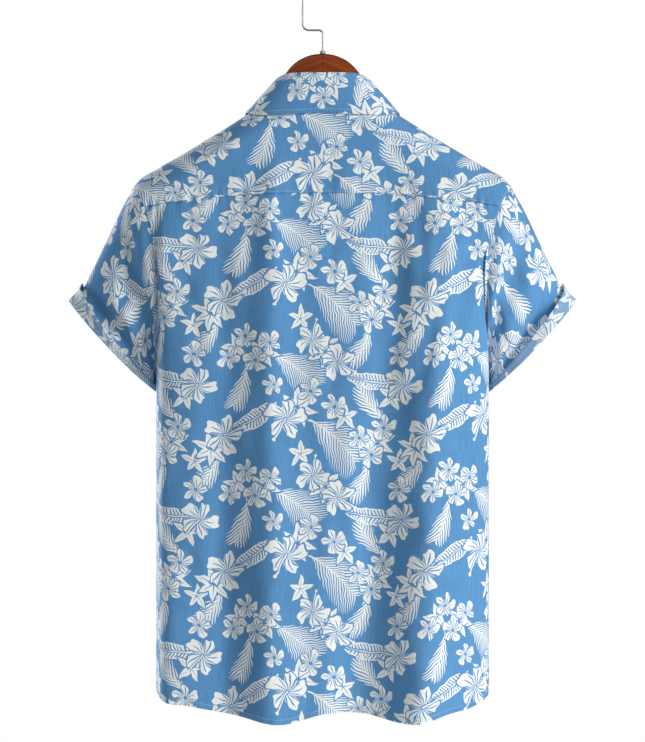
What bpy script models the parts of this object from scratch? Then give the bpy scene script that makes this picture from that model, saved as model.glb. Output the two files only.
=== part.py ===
"""A short-sleeved hawaiian shirt, buttoned up on a wooden hanger with a wire hook.

Metres, +Z up. The wearer's left is +X and the front of the shirt faces -Y. The origin is the
inside top of the hook, where a rail holds it. Every cloth piece is a closed wall between two
grids of points, and all of the trunk's pieces are worked out from the same surface.
"""
import bpy
import bmesh
import math
import numpy as np
from mathutils import Vector

# ------------------------------------------------------------------ cloth and trunk sizes
CLOTH = 0.0012                # thickness of the wall
SEAM = 0.0003                 # gap between two pieces at a seam
PLY = CLOTH + SEAM            # from the middle of one layer to the middle of the next

HALF_BODY = 0.1986            # half width of the trunk, flat between the side seams
BODY_POWER = 2.4              # roundness of its cross-section, 2 is an ellipse
SHOULDER_DROP = 0.034         # height over which the cloth turns down from the shoulder line
SHOULDER_GIRTH = 0.058        # length of cloth in that turn, on each side of the line
NECK_HALF = 0.074             # half width of the neck seam
NECK_BACK = 0.0515            # how far it dips at the back, along the cloth
NECK_FRONT = 0.121            # and at the front
NECK_POWER = 1.3
FRONT_YOKE = 0.038            # the yoke reaches this far over the shoulder to the front
UNDERARM = 0.231              # from the shoulder line to the underarm, along the cloth
LAP = 0.015                   # the fronts pass the middle by this much
HEM_TURN = 0.0008             # extra thickness of the turned hem

# height of the shoulder line at each distance from the middle
RIDGE = [(-0.030, -0.1385), (0.000, -0.1350), (0.030, -0.1385), (0.060, -0.1500), (0.074, -0.1580),
         (0.090, -0.1680), (0.127, -0.1913), (0.175, -0.2200), (0.200, -0.2345), (0.221, -0.2485),
         (0.2286, -0.2590), (0.240, -0.2790)]
# half depth and half width of the trunk's cross-section at each height
DEPTH = [(-0.900, 0.074), (-0.700, 0.072), (-0.450, 0.070), (-0.340, 0.062), (-0.260, 0.048),
         (-0.200, 0.038), (-0.100, 0.030)]
WIDTH = [(-0.900, HALF_BODY), (-0.480, HALF_BODY), (-0.445, HALF_BODY), (-0.400, 0.2030),
         (-0.370, 0.2120), (-0.340, 0.2260), (-0.310, 0.2430), (-0.280, 0.2560), (-0.250, 0.2650),
         (-0.100, 0.2700)]
# armhole: half width of the trunk at each distance along the cloth from the shoulder line
ARMHOLE = [(0.000, 0.2286), (0.026, 0.2240), (0.057, 0.2130), (0.107, 0.2010), (0.134, 0.1965),
           (0.179, 0.1955), (0.206, 0.1970), (UNDERARM, HALF_BODY)]
# height of the yoke seam on the back, and of both hems
YOKE_SEAM = [(0.000, -0.2635), (0.060, -0.2645), (0.104, -0.2670), (0.140, -0.2700), (0.176, -0.2740),
             (0.212, -0.2795), (0.240, -0.2850)]
BACK_HEM = [(-0.1986, -0.8605), (-0.180, -0.8715), (-0.149, -0.8795), (-0.107, -0.8905), (-0.088, -0.8885),
            (-0.046, -0.8795), (-0.008, -0.8790), (0.051, -0.8910), (0.097, -0.8825), (0.158, -0.8705),
            (0.189, -0.8645), (0.1986, -0.8575)]
FRONT_HEM = [(-0.1986, -0.8605), (-0.185, -0.8680), (-0.150, -0.8760), (-0.090, -0.8870), (-0.020, -0.8890),
             (0.060, -0.8900), (0.120, -0.8820), (0.165, -0.8720), (0.189, -0.8650), (0.1986, -0.8575)]

# folds that hang from the yoke: x at the yoke, x at the hem, half width, height at the hem
BACK_FOLDS = [(0.050, 0.078, 0.030, 0.0100), (0.105, 0.141, 0.026, -0.0090), (-0.150, -0.129, 0.028, 0.0100),
              (-0.095, -0.057, 0.026, -0.0100), (0.000, -0.020, 0.016, -0.0030)]
FRONT_FOLDS = [(-0.060, -0.085, 0.030, 0.0080), (-0.110, -0.150, 0.026, -0.0080),
               (0.075, 0.100, 0.030, 0.0090), (0.120, 0.152, 0.024, -0.0075), (0.035, 0.050, 0.018, -0.0035)]
FOLD_START = 0.15             # share of a fold's height that it has at the yoke
FOLD_TOP, FOLD_FOOT = -0.230, -0.880
FOLD_FADE = (0.120, 0.035)    # folds fade out over this much cloth below the shoulder and beside the seam

# ------------------------------------------------------------------ sleeve and cuff sizes
CUFF_MIDDLE = (0.2533, -0.0030, -0.4452)
CUFF_BOW = 0.0025                        # the mouth's edge swings out by this much between its corners
CUFF_HALF = (0.0487, 0.0320, 0.0545)     # half of the sleeve's mouth along X, Y and Z
ROLL = 0.0014                            # radius of the roll where the cuff turns up
ROLL_ANGLES = (0, 60, 120, 180)
CUFF_STEPS = (0.35, 0.70, 1.00)          # rows of the cuff above the roll, as shares of its width
# under the arm the sleeve stands this much off the trunk, from a distance along the armhole, over a length
UNDERARM_ROOM, ROOM_START, ROOM_LENGTH = 0.0014, 0.150, 0.060
# the outer edge of the sleeve against a straight line: share of its length, X
SLEEVE_TOP = [(0.00, 0.0000), (0.25, -0.0010), (0.47, -0.0035), (0.60, -0.0050), (0.78, -0.0058),
              (0.88, -0.0070), (0.95, -0.0040), (1.00, 0.0000)]
# folds: angle round the sleeve, share of its length, their half widths, height
SLEEVE_FOLDS = [(80, 0.16, 60, 0.10, 0.0045), (75, 0.42, 34, 0.13, -0.0060), (125, 0.70, 26, 0.22, 0.0045),
                (38, 0.74, 24, 0.12, 0.0030), (85, 0.86, 24, 0.10, -0.0040),
                (285, 0.16, 60, 0.10, 0.0040), (280, 0.50, 34, 0.14, -0.0055), (250, 0.80, 26, 0.20, 0.0035)]
SLEEVE_STEPS = (0.0, 0.05, 0.14, 0.27, 0.40, 0.53, 0.66, 0.78, 0.88, 0.95, 1.0)
# width of the turned-up cuff and how far its free edge stands off, round the sleeve
CUFF_BAND = [(0, 0.0215, 0.0012), (40, 0.0150, 0.0024), (90, 0.0095, 0.0012), (180, 0.0070, 0.0000),
             (270, 0.0120, 0.0014), (320, 0.0180, 0.0024), (360, 0.0215, 0.0012)]

# ------------------------------------------------------------------ collar sizes
STAND_STEPS = 3
FALL_STEPS = (0.0, 0.04, 0.14, 0.38, 0.70, 1.0)
LAP_CLEAR, LAP_EASE = 0.045, 0.025       # what laps over comes down to the trunk again by this x, over this
# the fold of the collar, from the front (-90) over the side (0) to the middle of the back (90)
COLLAR_FOLD = [(-101.7, -0.015, -0.0560, -0.2035), (-90, 0.0, -0.0568, -0.2045),
               (-78.3, 0.015, -0.0560, -0.2035), (-60, 0.0340, -0.0490, -0.1850),
               (-30, 0.0530, -0.0300, -0.1570), (0, 0.0572, -0.0030, -0.1350), (20, 0.0515, 0.0180, -0.1265),
               (35, 0.0435, 0.0285, -0.1237), (60, 0.0270, 0.0345, -0.1225), (90, 0.0000, 0.0360, -0.1225),
               (120, -0.0270, 0.0345, -0.1225)]
# its lower edge on the trunk: angle, x, distance along the cloth from the shoulder line
COLLAR_EDGE = [(-84, 0.0600, -0.137), (-55, 0.0775, -0.096), (-25, 0.0890, -0.047), (0, 0.0910, -0.003),
               (35, 0.0720, 0.0360), (60, 0.0400, 0.0520), (90, 0.0000, 0.0570),
               (120, -0.0400, 0.0520)]
COLLAR_FRONT = -84            # where the leaf starts at the front
LEAF_LIFT = 0.0026            # middle of the leaf's edge above the middle of the cloth under it
LEAF_BULGE = 0.0016
LEAF_ROLL = 0.0016            # radius of its roll over the top of the stand
LEAF_EDGE = (0.6, 0.4)        # where the leaf starts in that roll: up and out, as shares of the radius

# ------------------------------------------------------------------ buttons
BUTTON_RADIUS, BUTTON_THICK, BUTTON_RIM = 0.0055, 0.0022, 0.0006
BUTTON_DISH, BUTTON_SIDES = 0.0034, 12
BUTTON_TOP, BUTTON_PITCH, BUTTONS_BELOW = -0.300, -0.091, 6

# ------------------------------------------------------------------ hanger sizes
WOOD_THICK = 0.014
WOOD_REACH = 0.205
# the bar from the middle outwards: x, top, bottom
WOOD_EDGE = [(-0.020, -0.0983, -0.1600), (0.000, -0.0947, -0.1560), (0.020, -0.0983, -0.1600),
             (0.035, -0.1075, -0.1670), (0.046, -0.1205, -0.1740), (0.058, -0.1430, -0.1820),
             (0.070, -0.1570, -0.1890), (0.090, -0.1703, -0.1990), (0.127, -0.1936, -0.2190),
             (0.175, -0.2223, -0.2450), (0.196, -0.2350, -0.2560), (0.2050, -0.2440, -0.2520)]
WOOD_TOP = WOOD_EDGE[1][1]
WOOD_SHOULDER = 0.058         # the crown's foot: the bar's sections are closer together inside it
WOOD_BEVEL = 0.0028
WOOD_TIP = 0.6                # thickness of the tip as a share of the bar's
FERRULE_RADIUS, FERRULE_HEIGHT = 0.0038, 0.0034
WIRE_RADIUS = 0.0012
HOOK_RADIUS = 0.0240          # of the wire's middle
CRANK = -0.0660               # height of the wire's sideways run
BEND_LOW, BEND_HIGH = 0.0045, 0.0075
HOOK_END_ANGLE = 188
STEM_TOP = -0.0800            # where the straight stem ends below the crank
WIRE_SIDES, FERRULE_SIDES = 8, 20
WIRE_TIP = (0.5, 0.8)         # the rounded tip: its radius, and how far it stands out, in wire radii
FERRULE_LIP = 0.0005

INK = {"cloth": ((0.107, 0.262, 0.474), 0.85, 0.0), "reverse": ((0.40, 0.52, 0.62), 0.9, 0.0),
       "button": ((0.55, 0.66, 0.76), 0.35, 0.0), "wood": ((0.155, 0.030, 0.008), 0.35, 0.0),
       "steel": ((0.70, 0.70, 0.68), 0.25, 1.0)}


def material(name):
    """The finish of one kind of stuff, made once."""
    found = bpy.data.materials.get(name)
    if found:
        return found
    made = bpy.data.materials.new(name)
    made.use_nodes = True
    shader = made.node_tree.nodes["Principled BSDF"]
    colour, rough, metal = INK[name]
    shader.inputs["Base Color"].default_value = (*colour, 1.0)
    shader.inputs["Roughness"].default_value = rough
    shader.inputs["Metallic"].default_value = metal
    return made


def place(name, points, faces, stuff):
    """One named object from points and faces, its faces turned outwards."""
    mesh = bpy.data.meshes.new(name)
    mesh.from_pydata([tuple(p) for p in points], [], faces)
    work = bmesh.new()
    work.from_mesh(mesh)
    bmesh.ops.recalc_face_normals(work, faces=work.faces)
    bmesh.ops.triangulate(work, faces=work.faces, quad_method="SHORT_EDGE")
    work.to_mesh(mesh)
    work.free()
    mesh.shade_smooth()
    mesh.set_sharp_from_angle(angle=math.radians(40))
    mesh.materials.append(material(stuff))
    made = bpy.data.objects.new(name, mesh)
    bpy.context.collection.objects.link(made)
    return made


def wall(name, outer, inner, stuff="cloth", ring=False):
    """A closed wall between two grids of points; ring joins its last row to its first."""
    rows, columns = outer.shape[:2]
    spot = np.arange(rows * columns).reshape(rows, columns)
    far = spot + rows * columns
    faces = []
    for i in range(rows if ring else rows - 1):
        k = (i + 1) % rows
        for j in range(columns - 1):
            faces.append((spot[i, j], spot[k, j], spot[k, j + 1], spot[i, j + 1]))
            faces.append((far[i, j], far[i, j + 1], far[k, j + 1], far[k, j]))
        faces.append((spot[i, 0], far[i, 0], far[k, 0], spot[k, 0]))
        faces.append((spot[i, -1], spot[k, -1], far[k, -1], far[i, -1]))
    if not ring:
        for j in range(columns - 1):
            faces.append((spot[0, j], spot[0, j + 1], far[0, j + 1], far[0, j]))
            faces.append((spot[-1, j], far[-1, j], far[-1, j + 1], spot[-1, j + 1]))
    points = np.concatenate([outer.reshape(-1, 3), inner.reshape(-1, 3)])
    return place(name, points, [tuple(int(v) for v in f) for f in faces], stuff)


def curve(rows, at, column=1):
    """A smooth curve through one column of a table: cubic pieces that share their slopes."""
    table = np.array(rows, float)
    x, y = table[:, 0], table[:, column]
    at = np.clip(at, x[0], x[-1])
    slope = np.gradient(y, x)
    i = np.clip(np.searchsorted(x, at) - 1, 0, len(x) - 2)
    gap = x[i + 1] - x[i]
    t = (at - x[i]) / gap
    return (y[i] * (1 + 2 * t) * (1 - t) ** 2 + y[i + 1] * t * t * (3 - 2 * t)
            + gap * t * (1 - t) * (slope[i] * (1 - t) - slope[i + 1] * t))


def ease(t):
    """0 to 1 with no corner at either end."""
    t = np.clip(t, 0, 1)
    return t * t * (3 - 2 * t)


def unit(v):
    return v / np.maximum(np.linalg.norm(v, axis=-1, keepdims=True), 1e-12)


# ------------------------------------------------------------------ the trunk's surface
def ridge(x):
    return curve(RIDGE, np.abs(x))


def drop(w):
    """Height below the shoulder line at a distance along the cloth."""
    turn = np.minimum(np.abs(w) / SHOULDER_GIRTH, 1) * math.pi / 2
    return SHOULDER_DROP * (1 - np.cos(turn)) + np.maximum(np.abs(w) - SHOULDER_GIRTH, 0)


def folds(x, z, side):
    """How far the hanging folds push the cloth out of the plain trunk, at the back or the front."""
    down = np.clip((FOLD_TOP - z) / (FOLD_TOP - FOLD_FOOT), 0, 1)
    strength = FOLD_START + (1 - FOLD_START) * down
    total = np.zeros(np.broadcast(x, z).shape)
    for top, foot, half, height in BACK_FOLDS if side > 0 else FRONT_FOLDS:
        total = total + height * np.exp(-((x - top - (foot - top) * down) / half) ** 2)
    clear = ease((ridge(x) - z - SHOULDER_DROP) / FOLD_FADE[0]) * ease((HALF_BODY - np.abs(x)) / FOLD_FADE[1])
    return total * strength * clear


def trunk(x, z, side):
    """The middle of the cloth at x and z on the back (side 1) or the front (side -1)."""
    high = np.clip(1 - (ridge(x) - z) / SHOULDER_DROP, 0, 1)
    across = np.clip(1 - (np.abs(x) / curve(WIDTH, z)) ** BODY_POWER, 0, 1) ** (1 / BODY_POWER)
    y = curve(DEPTH, z) * across * np.sqrt(1 - high ** 2)
    return np.stack(np.broadcast_arrays(x, side * (y + folds(x, z, side)), z), -1)


def over(x, w):
    """The same surface at x and a distance along the cloth, positive to the back."""
    x, w = np.broadcast_arrays(np.asarray(x, float), np.asarray(w, float))
    z = ridge(x) - drop(w)
    back, front = trunk(x, z, 1), trunk(x, z, -1)
    return np.where(w[..., None] >= 0, back, front)


def outward(p, side):
    """Unit normal of the trunk's surface, from the slope of its formula."""
    def level(x, y, z):
        high = np.clip(1 - (ridge(x) - z) / SHOULDER_DROP, 0, 1)
        across = np.clip(1 - (np.abs(x) / curve(WIDTH, z)) ** BODY_POWER, 0, 1) ** (2 / BODY_POWER)
        flat = side * y - folds(x, z, 1) * (side > 0) - folds(x, z, -1) * (side < 0)
        return (flat / curve(DEPTH, z)) ** 2 - across * (1 - high ** 2)
    step = 0.0002
    x, y, z = p[..., 0], p[..., 1], p[..., 2]
    slope = [level(x + step, y, z) - level(x - step, y, z), level(x, y + step, z) - level(x, y - step, z),
             level(x, y, z + step) - level(x, y, z - step)]
    return unit(np.stack(slope, -1))


def cloth(name, middle, normal, stuff="cloth", lift=0.0, thick=CLOTH, ring=False):
    """A wall of cloth about a grid of middle points, lifted along the normal."""
    half = np.asarray(thick, float)[..., None] / 2 if np.ndim(thick) else thick / 2
    rise = np.asarray(lift, float)[..., None] if np.ndim(lift) else lift
    return wall(name, middle + normal * (rise + half), middle + normal * (rise - half), stuff, ring)


# ------------------------------------------------------------------ seams that pieces share
def neck(angle):
    """Neck seam as x and distance along the cloth: 0 is the side of the neck, 90 the back."""
    turn = np.radians(angle)
    reach = np.abs(np.sin(turn)) ** NECK_POWER
    return NECK_HALF * np.cos(turn), np.where(np.sin(turn) > 0, NECK_BACK, -NECK_FRONT) * reach


FRONT_ANGLE = -math.degrees(math.asin((FRONT_YOKE / NECK_FRONT) ** (1 / NECK_POWER)))
# the armhole's edge point by point, from the front yoke seam's level down to the underarm
EDGE_W = np.linspace(FRONT_YOKE, UNDERARM, 400)
EDGE_X = curve(ARMHOLE, EDGE_W)
EDGE_Z = ridge(EDGE_X) - drop(EDGE_W)
CORNER = float(np.interp(0, (curve(YOKE_SEAM, EDGE_X) - EDGE_Z)[:200], EDGE_W[:200]))   # its yoke corner


def edge_width(z):
    """Half width of the back or front at a height: the armhole above the underarm, the side below."""
    return np.where(z > EDGE_Z[-1], np.interp(-z, -EDGE_Z, EDGE_X), curve(WIDTH, z))


DOWN_ARM = np.sin(np.linspace(0, math.pi / 2, 8))  # armhole points, closer together at the underarm
ARM_BACK = CORNER + (UNDERARM - CORNER) * DOWN_ARM
ARM_FRONT = FRONT_YOKE + (UNDERARM - FRONT_YOKE) * DOWN_ARM
ARM_YOKE = np.concatenate([-np.linspace(FRONT_YOKE, 0, 4)[:-1], [0.0], np.linspace(0, CORNER, 6)[1:]])
BODY_ROWS = (0.07, 0.15, 0.25, 0.37, 0.50, 0.64, 0.78, 0.90, 0.975, 1.0)   # from underarm to hem
NECK_COLUMNS, SEAM_COLUMNS = 6, 9                  # columns of a front under the neck and under the yoke
BACK_COLUMNS = 13                                  # columns of half the back
LAP_COLUMNS = 4                                    # columns of a front within the lap
SEAM_SHARE = np.sin(np.linspace(0, math.pi / 2, SEAM_COLUMNS + 1))         # along the front yoke seam
TO_SIDE = np.sin(np.linspace(0, math.pi / 2, BACK_COLUMNS + 1))[::-1]      # closer together at the side
# points of the neck seam, as its angles: on a front from its lapped edge, and on half of the yoke
LAP_X = np.linspace(-LAP, LAP, LAP_COLUMNS + 1)
NECK_ANGLES = -np.degrees(np.arccos(LAP_X / NECK_HALF))
NECK_ANGLES = np.concatenate([NECK_ANGLES[:-1], np.linspace(NECK_ANGLES[-1], FRONT_ANGLE, NECK_COLUMNS + 1)])
SHOULDER_ANGLE = 22            # the yoke's columns left of it end at the armhole, the others at the back seam
YOKE_ANGLES = np.concatenate([np.linspace(FRONT_ANGLE, SHOULDER_ANGLE, len(ARM_YOKE)),
                              np.linspace(SHOULDER_ANGLE, 90, BACK_COLUMNS + 1)[1:]])


def panel(top_x, top_z, side, arm, hem):
    """Grid of middle points of a back or front, columns from its top points down to the hem."""
    gap = SEAM / 2
    arm_x = curve(ARMHOLE, arm)
    arm_z = ridge(arm_x) - drop(arm)
    foot_z = curve(hem, np.sign(top_x[-1]) * HALF_BODY)
    edge = np.concatenate([arm_z, arm_z[-1] + (foot_z - arm_z[-1]) * np.array(BODY_ROWS)])
    share = np.clip(top_x / edge_width(top_z), -1, 1)
    from_top = ease((edge - arm_z[-1]) / (edge[0] - arm_z[-1]))
    from_foot = ease((arm_z[-1] - edge) / (arm_z[-1] - foot_z)) ** 2
    foot = curve(hem, share * HALF_BODY)
    z = edge[None, :] + np.outer(top_z - gap - edge[0], from_top) + np.outer(foot - foot_z, from_foot)
    wide = edge_width(z) - gap * (z > arm_z[-1] + gap)
    x = share[:, None] * wide
    middle = trunk(x, z, side)
    at_side = (np.abs(share) > 0.9999)[:, None] & (z <= arm_z[-1] + gap)
    middle[..., 1] = np.where(at_side, side * SEAM / 2, middle[..., 1])
    return middle, outward(middle, side)


def hem_thick(middle):
    """Wall thickness over a panel's grid: the turned hem, in its last two rows, is thicker."""
    thick = np.full(middle.shape[:2], CLOTH)
    thick[:, -2:] += HEM_TURN
    return thick


# ------------------------------------------------------------------ yoke, back and fronts
def make_yoke():
    """One piece over both shoulders, from one front seam round the neck to the other."""
    arm_x = curve(ARMHOLE, np.abs(ARM_YOKE)) - SEAM / 2
    seam_x = ((curve(ARMHOLE, CORNER) - SEAM / 2) * TO_SIDE)[1:]
    height = ridge(seam_x) - curve(YOKE_SEAM, seam_x) - SEAM / 2
    seam_w = SHOULDER_GIRTH + height - SHOULDER_DROP
    outer_x = np.concatenate([arm_x, seam_x])
    outer_w = np.concatenate([ARM_YOKE, seam_w])
    outer_w[0] += SEAM / 2
    inner_x, inner_w = neck(YOKE_ANGLES)
    inner_w[0] += SEAM / 2
    x = inner_x[:, None] + np.outer(outer_x - inner_x, SEAM_SHARE)
    w = inner_w[:, None] + np.outer(outer_w - inner_w, SEAM_SHARE)
    x = np.concatenate([x, -x[-2::-1]])
    w = np.concatenate([w, w[-2::-1]])
    middle = over(x, w)
    normal = np.where(w[..., None] >= 0, outward(middle, 1), outward(middle, -1))
    cloth("yoke", middle, normal)


def make_back():
    """The back panel hangs from the yoke seam to the shirt-tail hem."""
    half = curve(ARMHOLE, CORNER) * TO_SIDE
    top_x = np.concatenate([-half, half[-2::-1]])
    middle, normal = panel(top_x, curve(YOKE_SEAM, np.abs(top_x)), 1, ARM_BACK, BACK_HEM)
    cloth("back_panel", middle, normal, thick=hem_thick(middle))


def front_grid(sign):
    """A front's grid of middle points: under the neck seam first, then under the yoke seam."""
    neck_x, neck_w = neck(NECK_ANGLES)
    seam_x = neck_x[-1] + (curve(ARMHOLE, FRONT_YOKE) - neck_x[-1]) * SEAM_SHARE[1:]
    top_x = np.concatenate([neck_x, seam_x])
    top_w = np.concatenate([neck_w, np.full(len(seam_x), -FRONT_YOKE)])
    top_z = ridge(top_x) - drop(top_w)
    return panel(sign * top_x, top_z, -1, ARM_FRONT, FRONT_HEM)


def make_fronts():
    """The left front laps over the right one and carries the buttonhole band, which is returned."""
    over_lap = PLY + HEM_TURN
    for name, sign in (("front_right", -1), ("front_left", 1)):
        middle, normal = front_grid(sign)
        lapped = over_lap * lap_over(middle[..., 0]) if sign > 0 else 0.0
        cloth(name, middle, normal, lift=lapped, thick=hem_thick(middle))
    band, facing = middle[:LAP_COLUMNS + 1].copy(), normal[:LAP_COLUMNS + 1]
    band = band + facing * (over_lap + PLY + HEM_TURN / 2)
    cloth("placket", band, facing)
    return band, facing


def make_buttons(band, normal, neck_seat):
    """Turned buttons with a raised rim: one on the collar stand, the others down the band."""
    middle = LAP_COLUMNS // 2
    heights = band[middle, ::-1, 2]

    def on_band(grid, z):
        return Vector([np.interp(z, heights, grid[middle, ::-1, k]) for k in range(3)])

    seats = [neck_seat]
    for i in range(BUTTONS_BELOW):
        z = BUTTON_TOP + i * BUTTON_PITCH
        seats.append((on_band(band, z), on_band(normal, z).normalized()))
    profile = [(0.0, 0.0), (BUTTON_RADIUS - BUTTON_RIM, 0.0), (BUTTON_RADIUS, BUTTON_RIM),
               (BUTTON_RADIUS, BUTTON_THICK - BUTTON_RIM), (BUTTON_RADIUS - BUTTON_RIM, BUTTON_THICK),
               (BUTTON_DISH, BUTTON_THICK - BUTTON_RIM), (0.0, BUTTON_THICK - BUTTON_RIM)]
    for i, (seat, facing) in enumerate(seats):
        turned(f"button_{i}", profile, BUTTON_SIDES, "button", seat + facing * (CLOTH / 2 + SEAM), facing)


def turned(name, profile, sides, stuff, seat=Vector(), axis=Vector((0, 0, 1))):
    """A solid of revolution from radius and height pairs that start and end on the axis."""
    turn = axis.to_track_quat("Z", "Y").to_matrix()
    points, faces = [], []
    rings = profile[1:-1]
    for r, h in rings:
        for k in range(sides):
            a = 2 * math.pi * k / sides
            points.append(seat + turn @ Vector((r * math.cos(a), r * math.sin(a), h)))
    for i in range(len(rings) - 1):
        for k in range(sides):
            n = (k + 1) % sides
            faces.append((i * sides + k, i * sides + n, (i + 1) * sides + n, (i + 1) * sides + k))
    for ring, height in ((0, profile[0][1]), (len(rings) - 1, profile[-1][1])):
        points.append(seat + turn @ Vector((0, 0, height)))
        for k in range(sides):
            faces.append((ring * sides + k, ring * sides + (k + 1) % sides, len(points) - 1))
    return place(name, points, faces, stuff)


# ------------------------------------------------------------------ collar
COLLAR_ANGLES = np.concatenate([NECK_ANGLES, YOKE_ANGLES[1:]])


def fold_line(angle):
    return np.stack([curve(COLLAR_FOLD, angle, k) for k in (1, 2, 3)], -1)


def lap_over(x):
    """How far a left-hand piece stands out at x to lie over its right-hand neighbour, 0 to 1."""
    return ease((LAP_CLEAR - x) / LAP_EASE)


def stand_line(angle, lapped):
    """Foot and top of the collar stand's middle at angles of the neck seam."""
    foot = over(*neck(angle))
    top = fold_line(angle)
    if lapped:
        shift = np.stack([0 * angle, -(PLY + 3 * SEAM) * lap_over(foot[:, 0]) * (angle < 0), 0 * angle], -1)
        foot, top = foot + shift, top + shift
    return foot, top


def make_stand():
    """The neckband rises from the neck seam; its left end laps over its right end."""
    halves = []
    for lapped in (True, False):
        foot, top = stand_line(COLLAR_ANGLES, lapped)
        rise = unit(top - foot)
        foot = foot + rise * (CLOTH / 2 + SEAM)
        top = top - rise * (2 * SEAM)
        steps = np.linspace(0, 1, STAND_STEPS)
        halves.append(foot[:, None] + (top - foot)[:, None] * steps[None, :, None])
    left, right = halves[0], halves[1] * (-1, 1, 1)
    middle = np.concatenate([left, right[-2::-1]])
    normal = grid_normal(middle)
    cloth("collar_stand", middle, normal)
    front, level = LAP_COLUMNS // 2, STAND_STEPS // 2
    facing = Vector(normal[front, level])
    if facing.y > 0:
        facing = -facing
    return Vector(middle[front, level]), facing


def grid_normal(grid, ring=False):
    """Unit normal of a grid from the chords of its own points."""
    if ring:
        along = np.roll(grid, -1, 0) - np.roll(grid, 1, 0)
    else:
        along = np.gradient(grid, axis=0)
    return unit(np.cross(along, np.gradient(grid, axis=1)))


def leaf_half(angles, lapped):
    """Half of the collar leaf: from its roll over the stand down to its edge on the cloth below."""
    foot, top = stand_line(angles, True)
    x, w = curve(COLLAR_EDGE, angles, 1), curve(COLLAR_EDGE, angles, 2)
    low = over(x, w)
    side = np.where(w[:, None] >= 0, outward(low, 1), outward(low, -1))
    lift = LEAF_LIFT + (PLY * lap_over(x) * (w < 0) if lapped else 0 * x)
    low = low + side * lift[:, None]
    level = np.array([1.0, 1.0, 0.0])
    out = unit(unit((low - foot) * level) + unit((top + (0, 0.010, 0)) * level))
    rise = unit(top - foot)
    crest = top + rise * (CLOTH / 2)
    start = crest + out * (2 * LEAF_ROLL)
    grid = np.empty((len(angles), len(FALL_STEPS), 3))
    grid[:, 0] = crest + rise * LEAF_ROLL * LEAF_EDGE[0] + out * LEAF_ROLL * LEAF_EDGE[1]
    for j, t in enumerate(FALL_STEPS[1:], 1):
        down = (t - FALL_STEPS[1]) / (1 - FALL_STEPS[1])
        grid[:, j] = start + (low - start) * down + out * LEAF_BULGE * math.sin(math.pi * t)
    return grid


def make_fall():
    """The leaf folds over the top of the stand and lies on the yoke and the fronts."""
    angles = np.concatenate([[COLLAR_FRONT], COLLAR_ANGLES[COLLAR_ANGLES > COLLAR_FRONT + 1]])
    left, right = leaf_half(angles, True), leaf_half(angles, False) * (-1, 1, 1)
    middle = np.concatenate([left, right[-2::-1]])
    cloth("collar_fall", middle, grid_normal(middle))


# ------------------------------------------------------------------ sleeves and cuffs
def arm_ring():
    """Armhole points in order: over the shoulder, down the back, under the arm and up the front."""
    start = list(ARM_YOKE).index(0.0)
    w = np.concatenate([ARM_YOKE[start:], ARM_BACK[1:], -ARM_FRONT[-2::-1], ARM_YOKE[1:start]])
    x = curve(ARMHOLE, np.abs(w))
    middle = over(x, w)
    middle[np.abs(w) >= UNDERARM - 1e-6, 1] = 0
    side = np.where(w[:, None] >= 0, outward(middle, 1), outward(middle, -1))
    step = np.linalg.norm(np.roll(middle, -1, 0) - middle, axis=1)
    under = int(np.argmax(w))
    length = np.concatenate([[0], np.cumsum(step)])
    turn = np.where(np.arange(len(w)) <= under, 180 * length[:-1] / length[under],
                    180 + 180 * (length[:-1] - length[under]) / (length[-1] - length[under]))
    return w, middle, side, turn


def sleeve_middle(ring, turn, steps):
    """Middle points of a sleeve: straight lines from the armhole to the mouth, bent and folded."""
    a = np.radians(turn)[:, None]
    t = np.asarray(steps)[None, :]
    round_mouth = [np.cos(a), np.sin(a), np.cos(a)]
    mouth = np.stack([CUFF_MIDDLE[k] + CUFF_HALF[k] * round_mouth[k] for k in range(3)], -1)
    square = unit(np.array([CUFF_HALF[2], 0.0, -CUFF_HALF[0]]))
    mouth = mouth + square * (CUFF_BOW * np.sin(a) ** 2)[..., None]
    grid = ring[:, None] * (1 - t[..., None]) + mouth * t[..., None]
    top = np.maximum(np.cos(a), 0) ** 2
    grid[..., 0] += curve(SLEEVE_TOP, t) * top
    push = np.zeros((len(turn), len(steps)))
    for angle, share, wide, long, height in SLEEVE_FOLDS:
        away = (turn[:, None] - angle + 180) % 360 - 180
        push += height * np.exp(-(away / wide) ** 2 - ((t - share) / long) ** 2)
    push *= ease(t / 0.10) * np.abs(np.sin(a))
    return grid - grid_normal(grid, ring=True) * push[..., None]


def at_share(grid, share):
    """Each row of a sleeve grid read at its own share of the length."""
    return np.array([[np.interp(at, SLEEVE_STEPS, row[:, k]) for k in range(3)] for at, row in zip(share, grid)])


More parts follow.
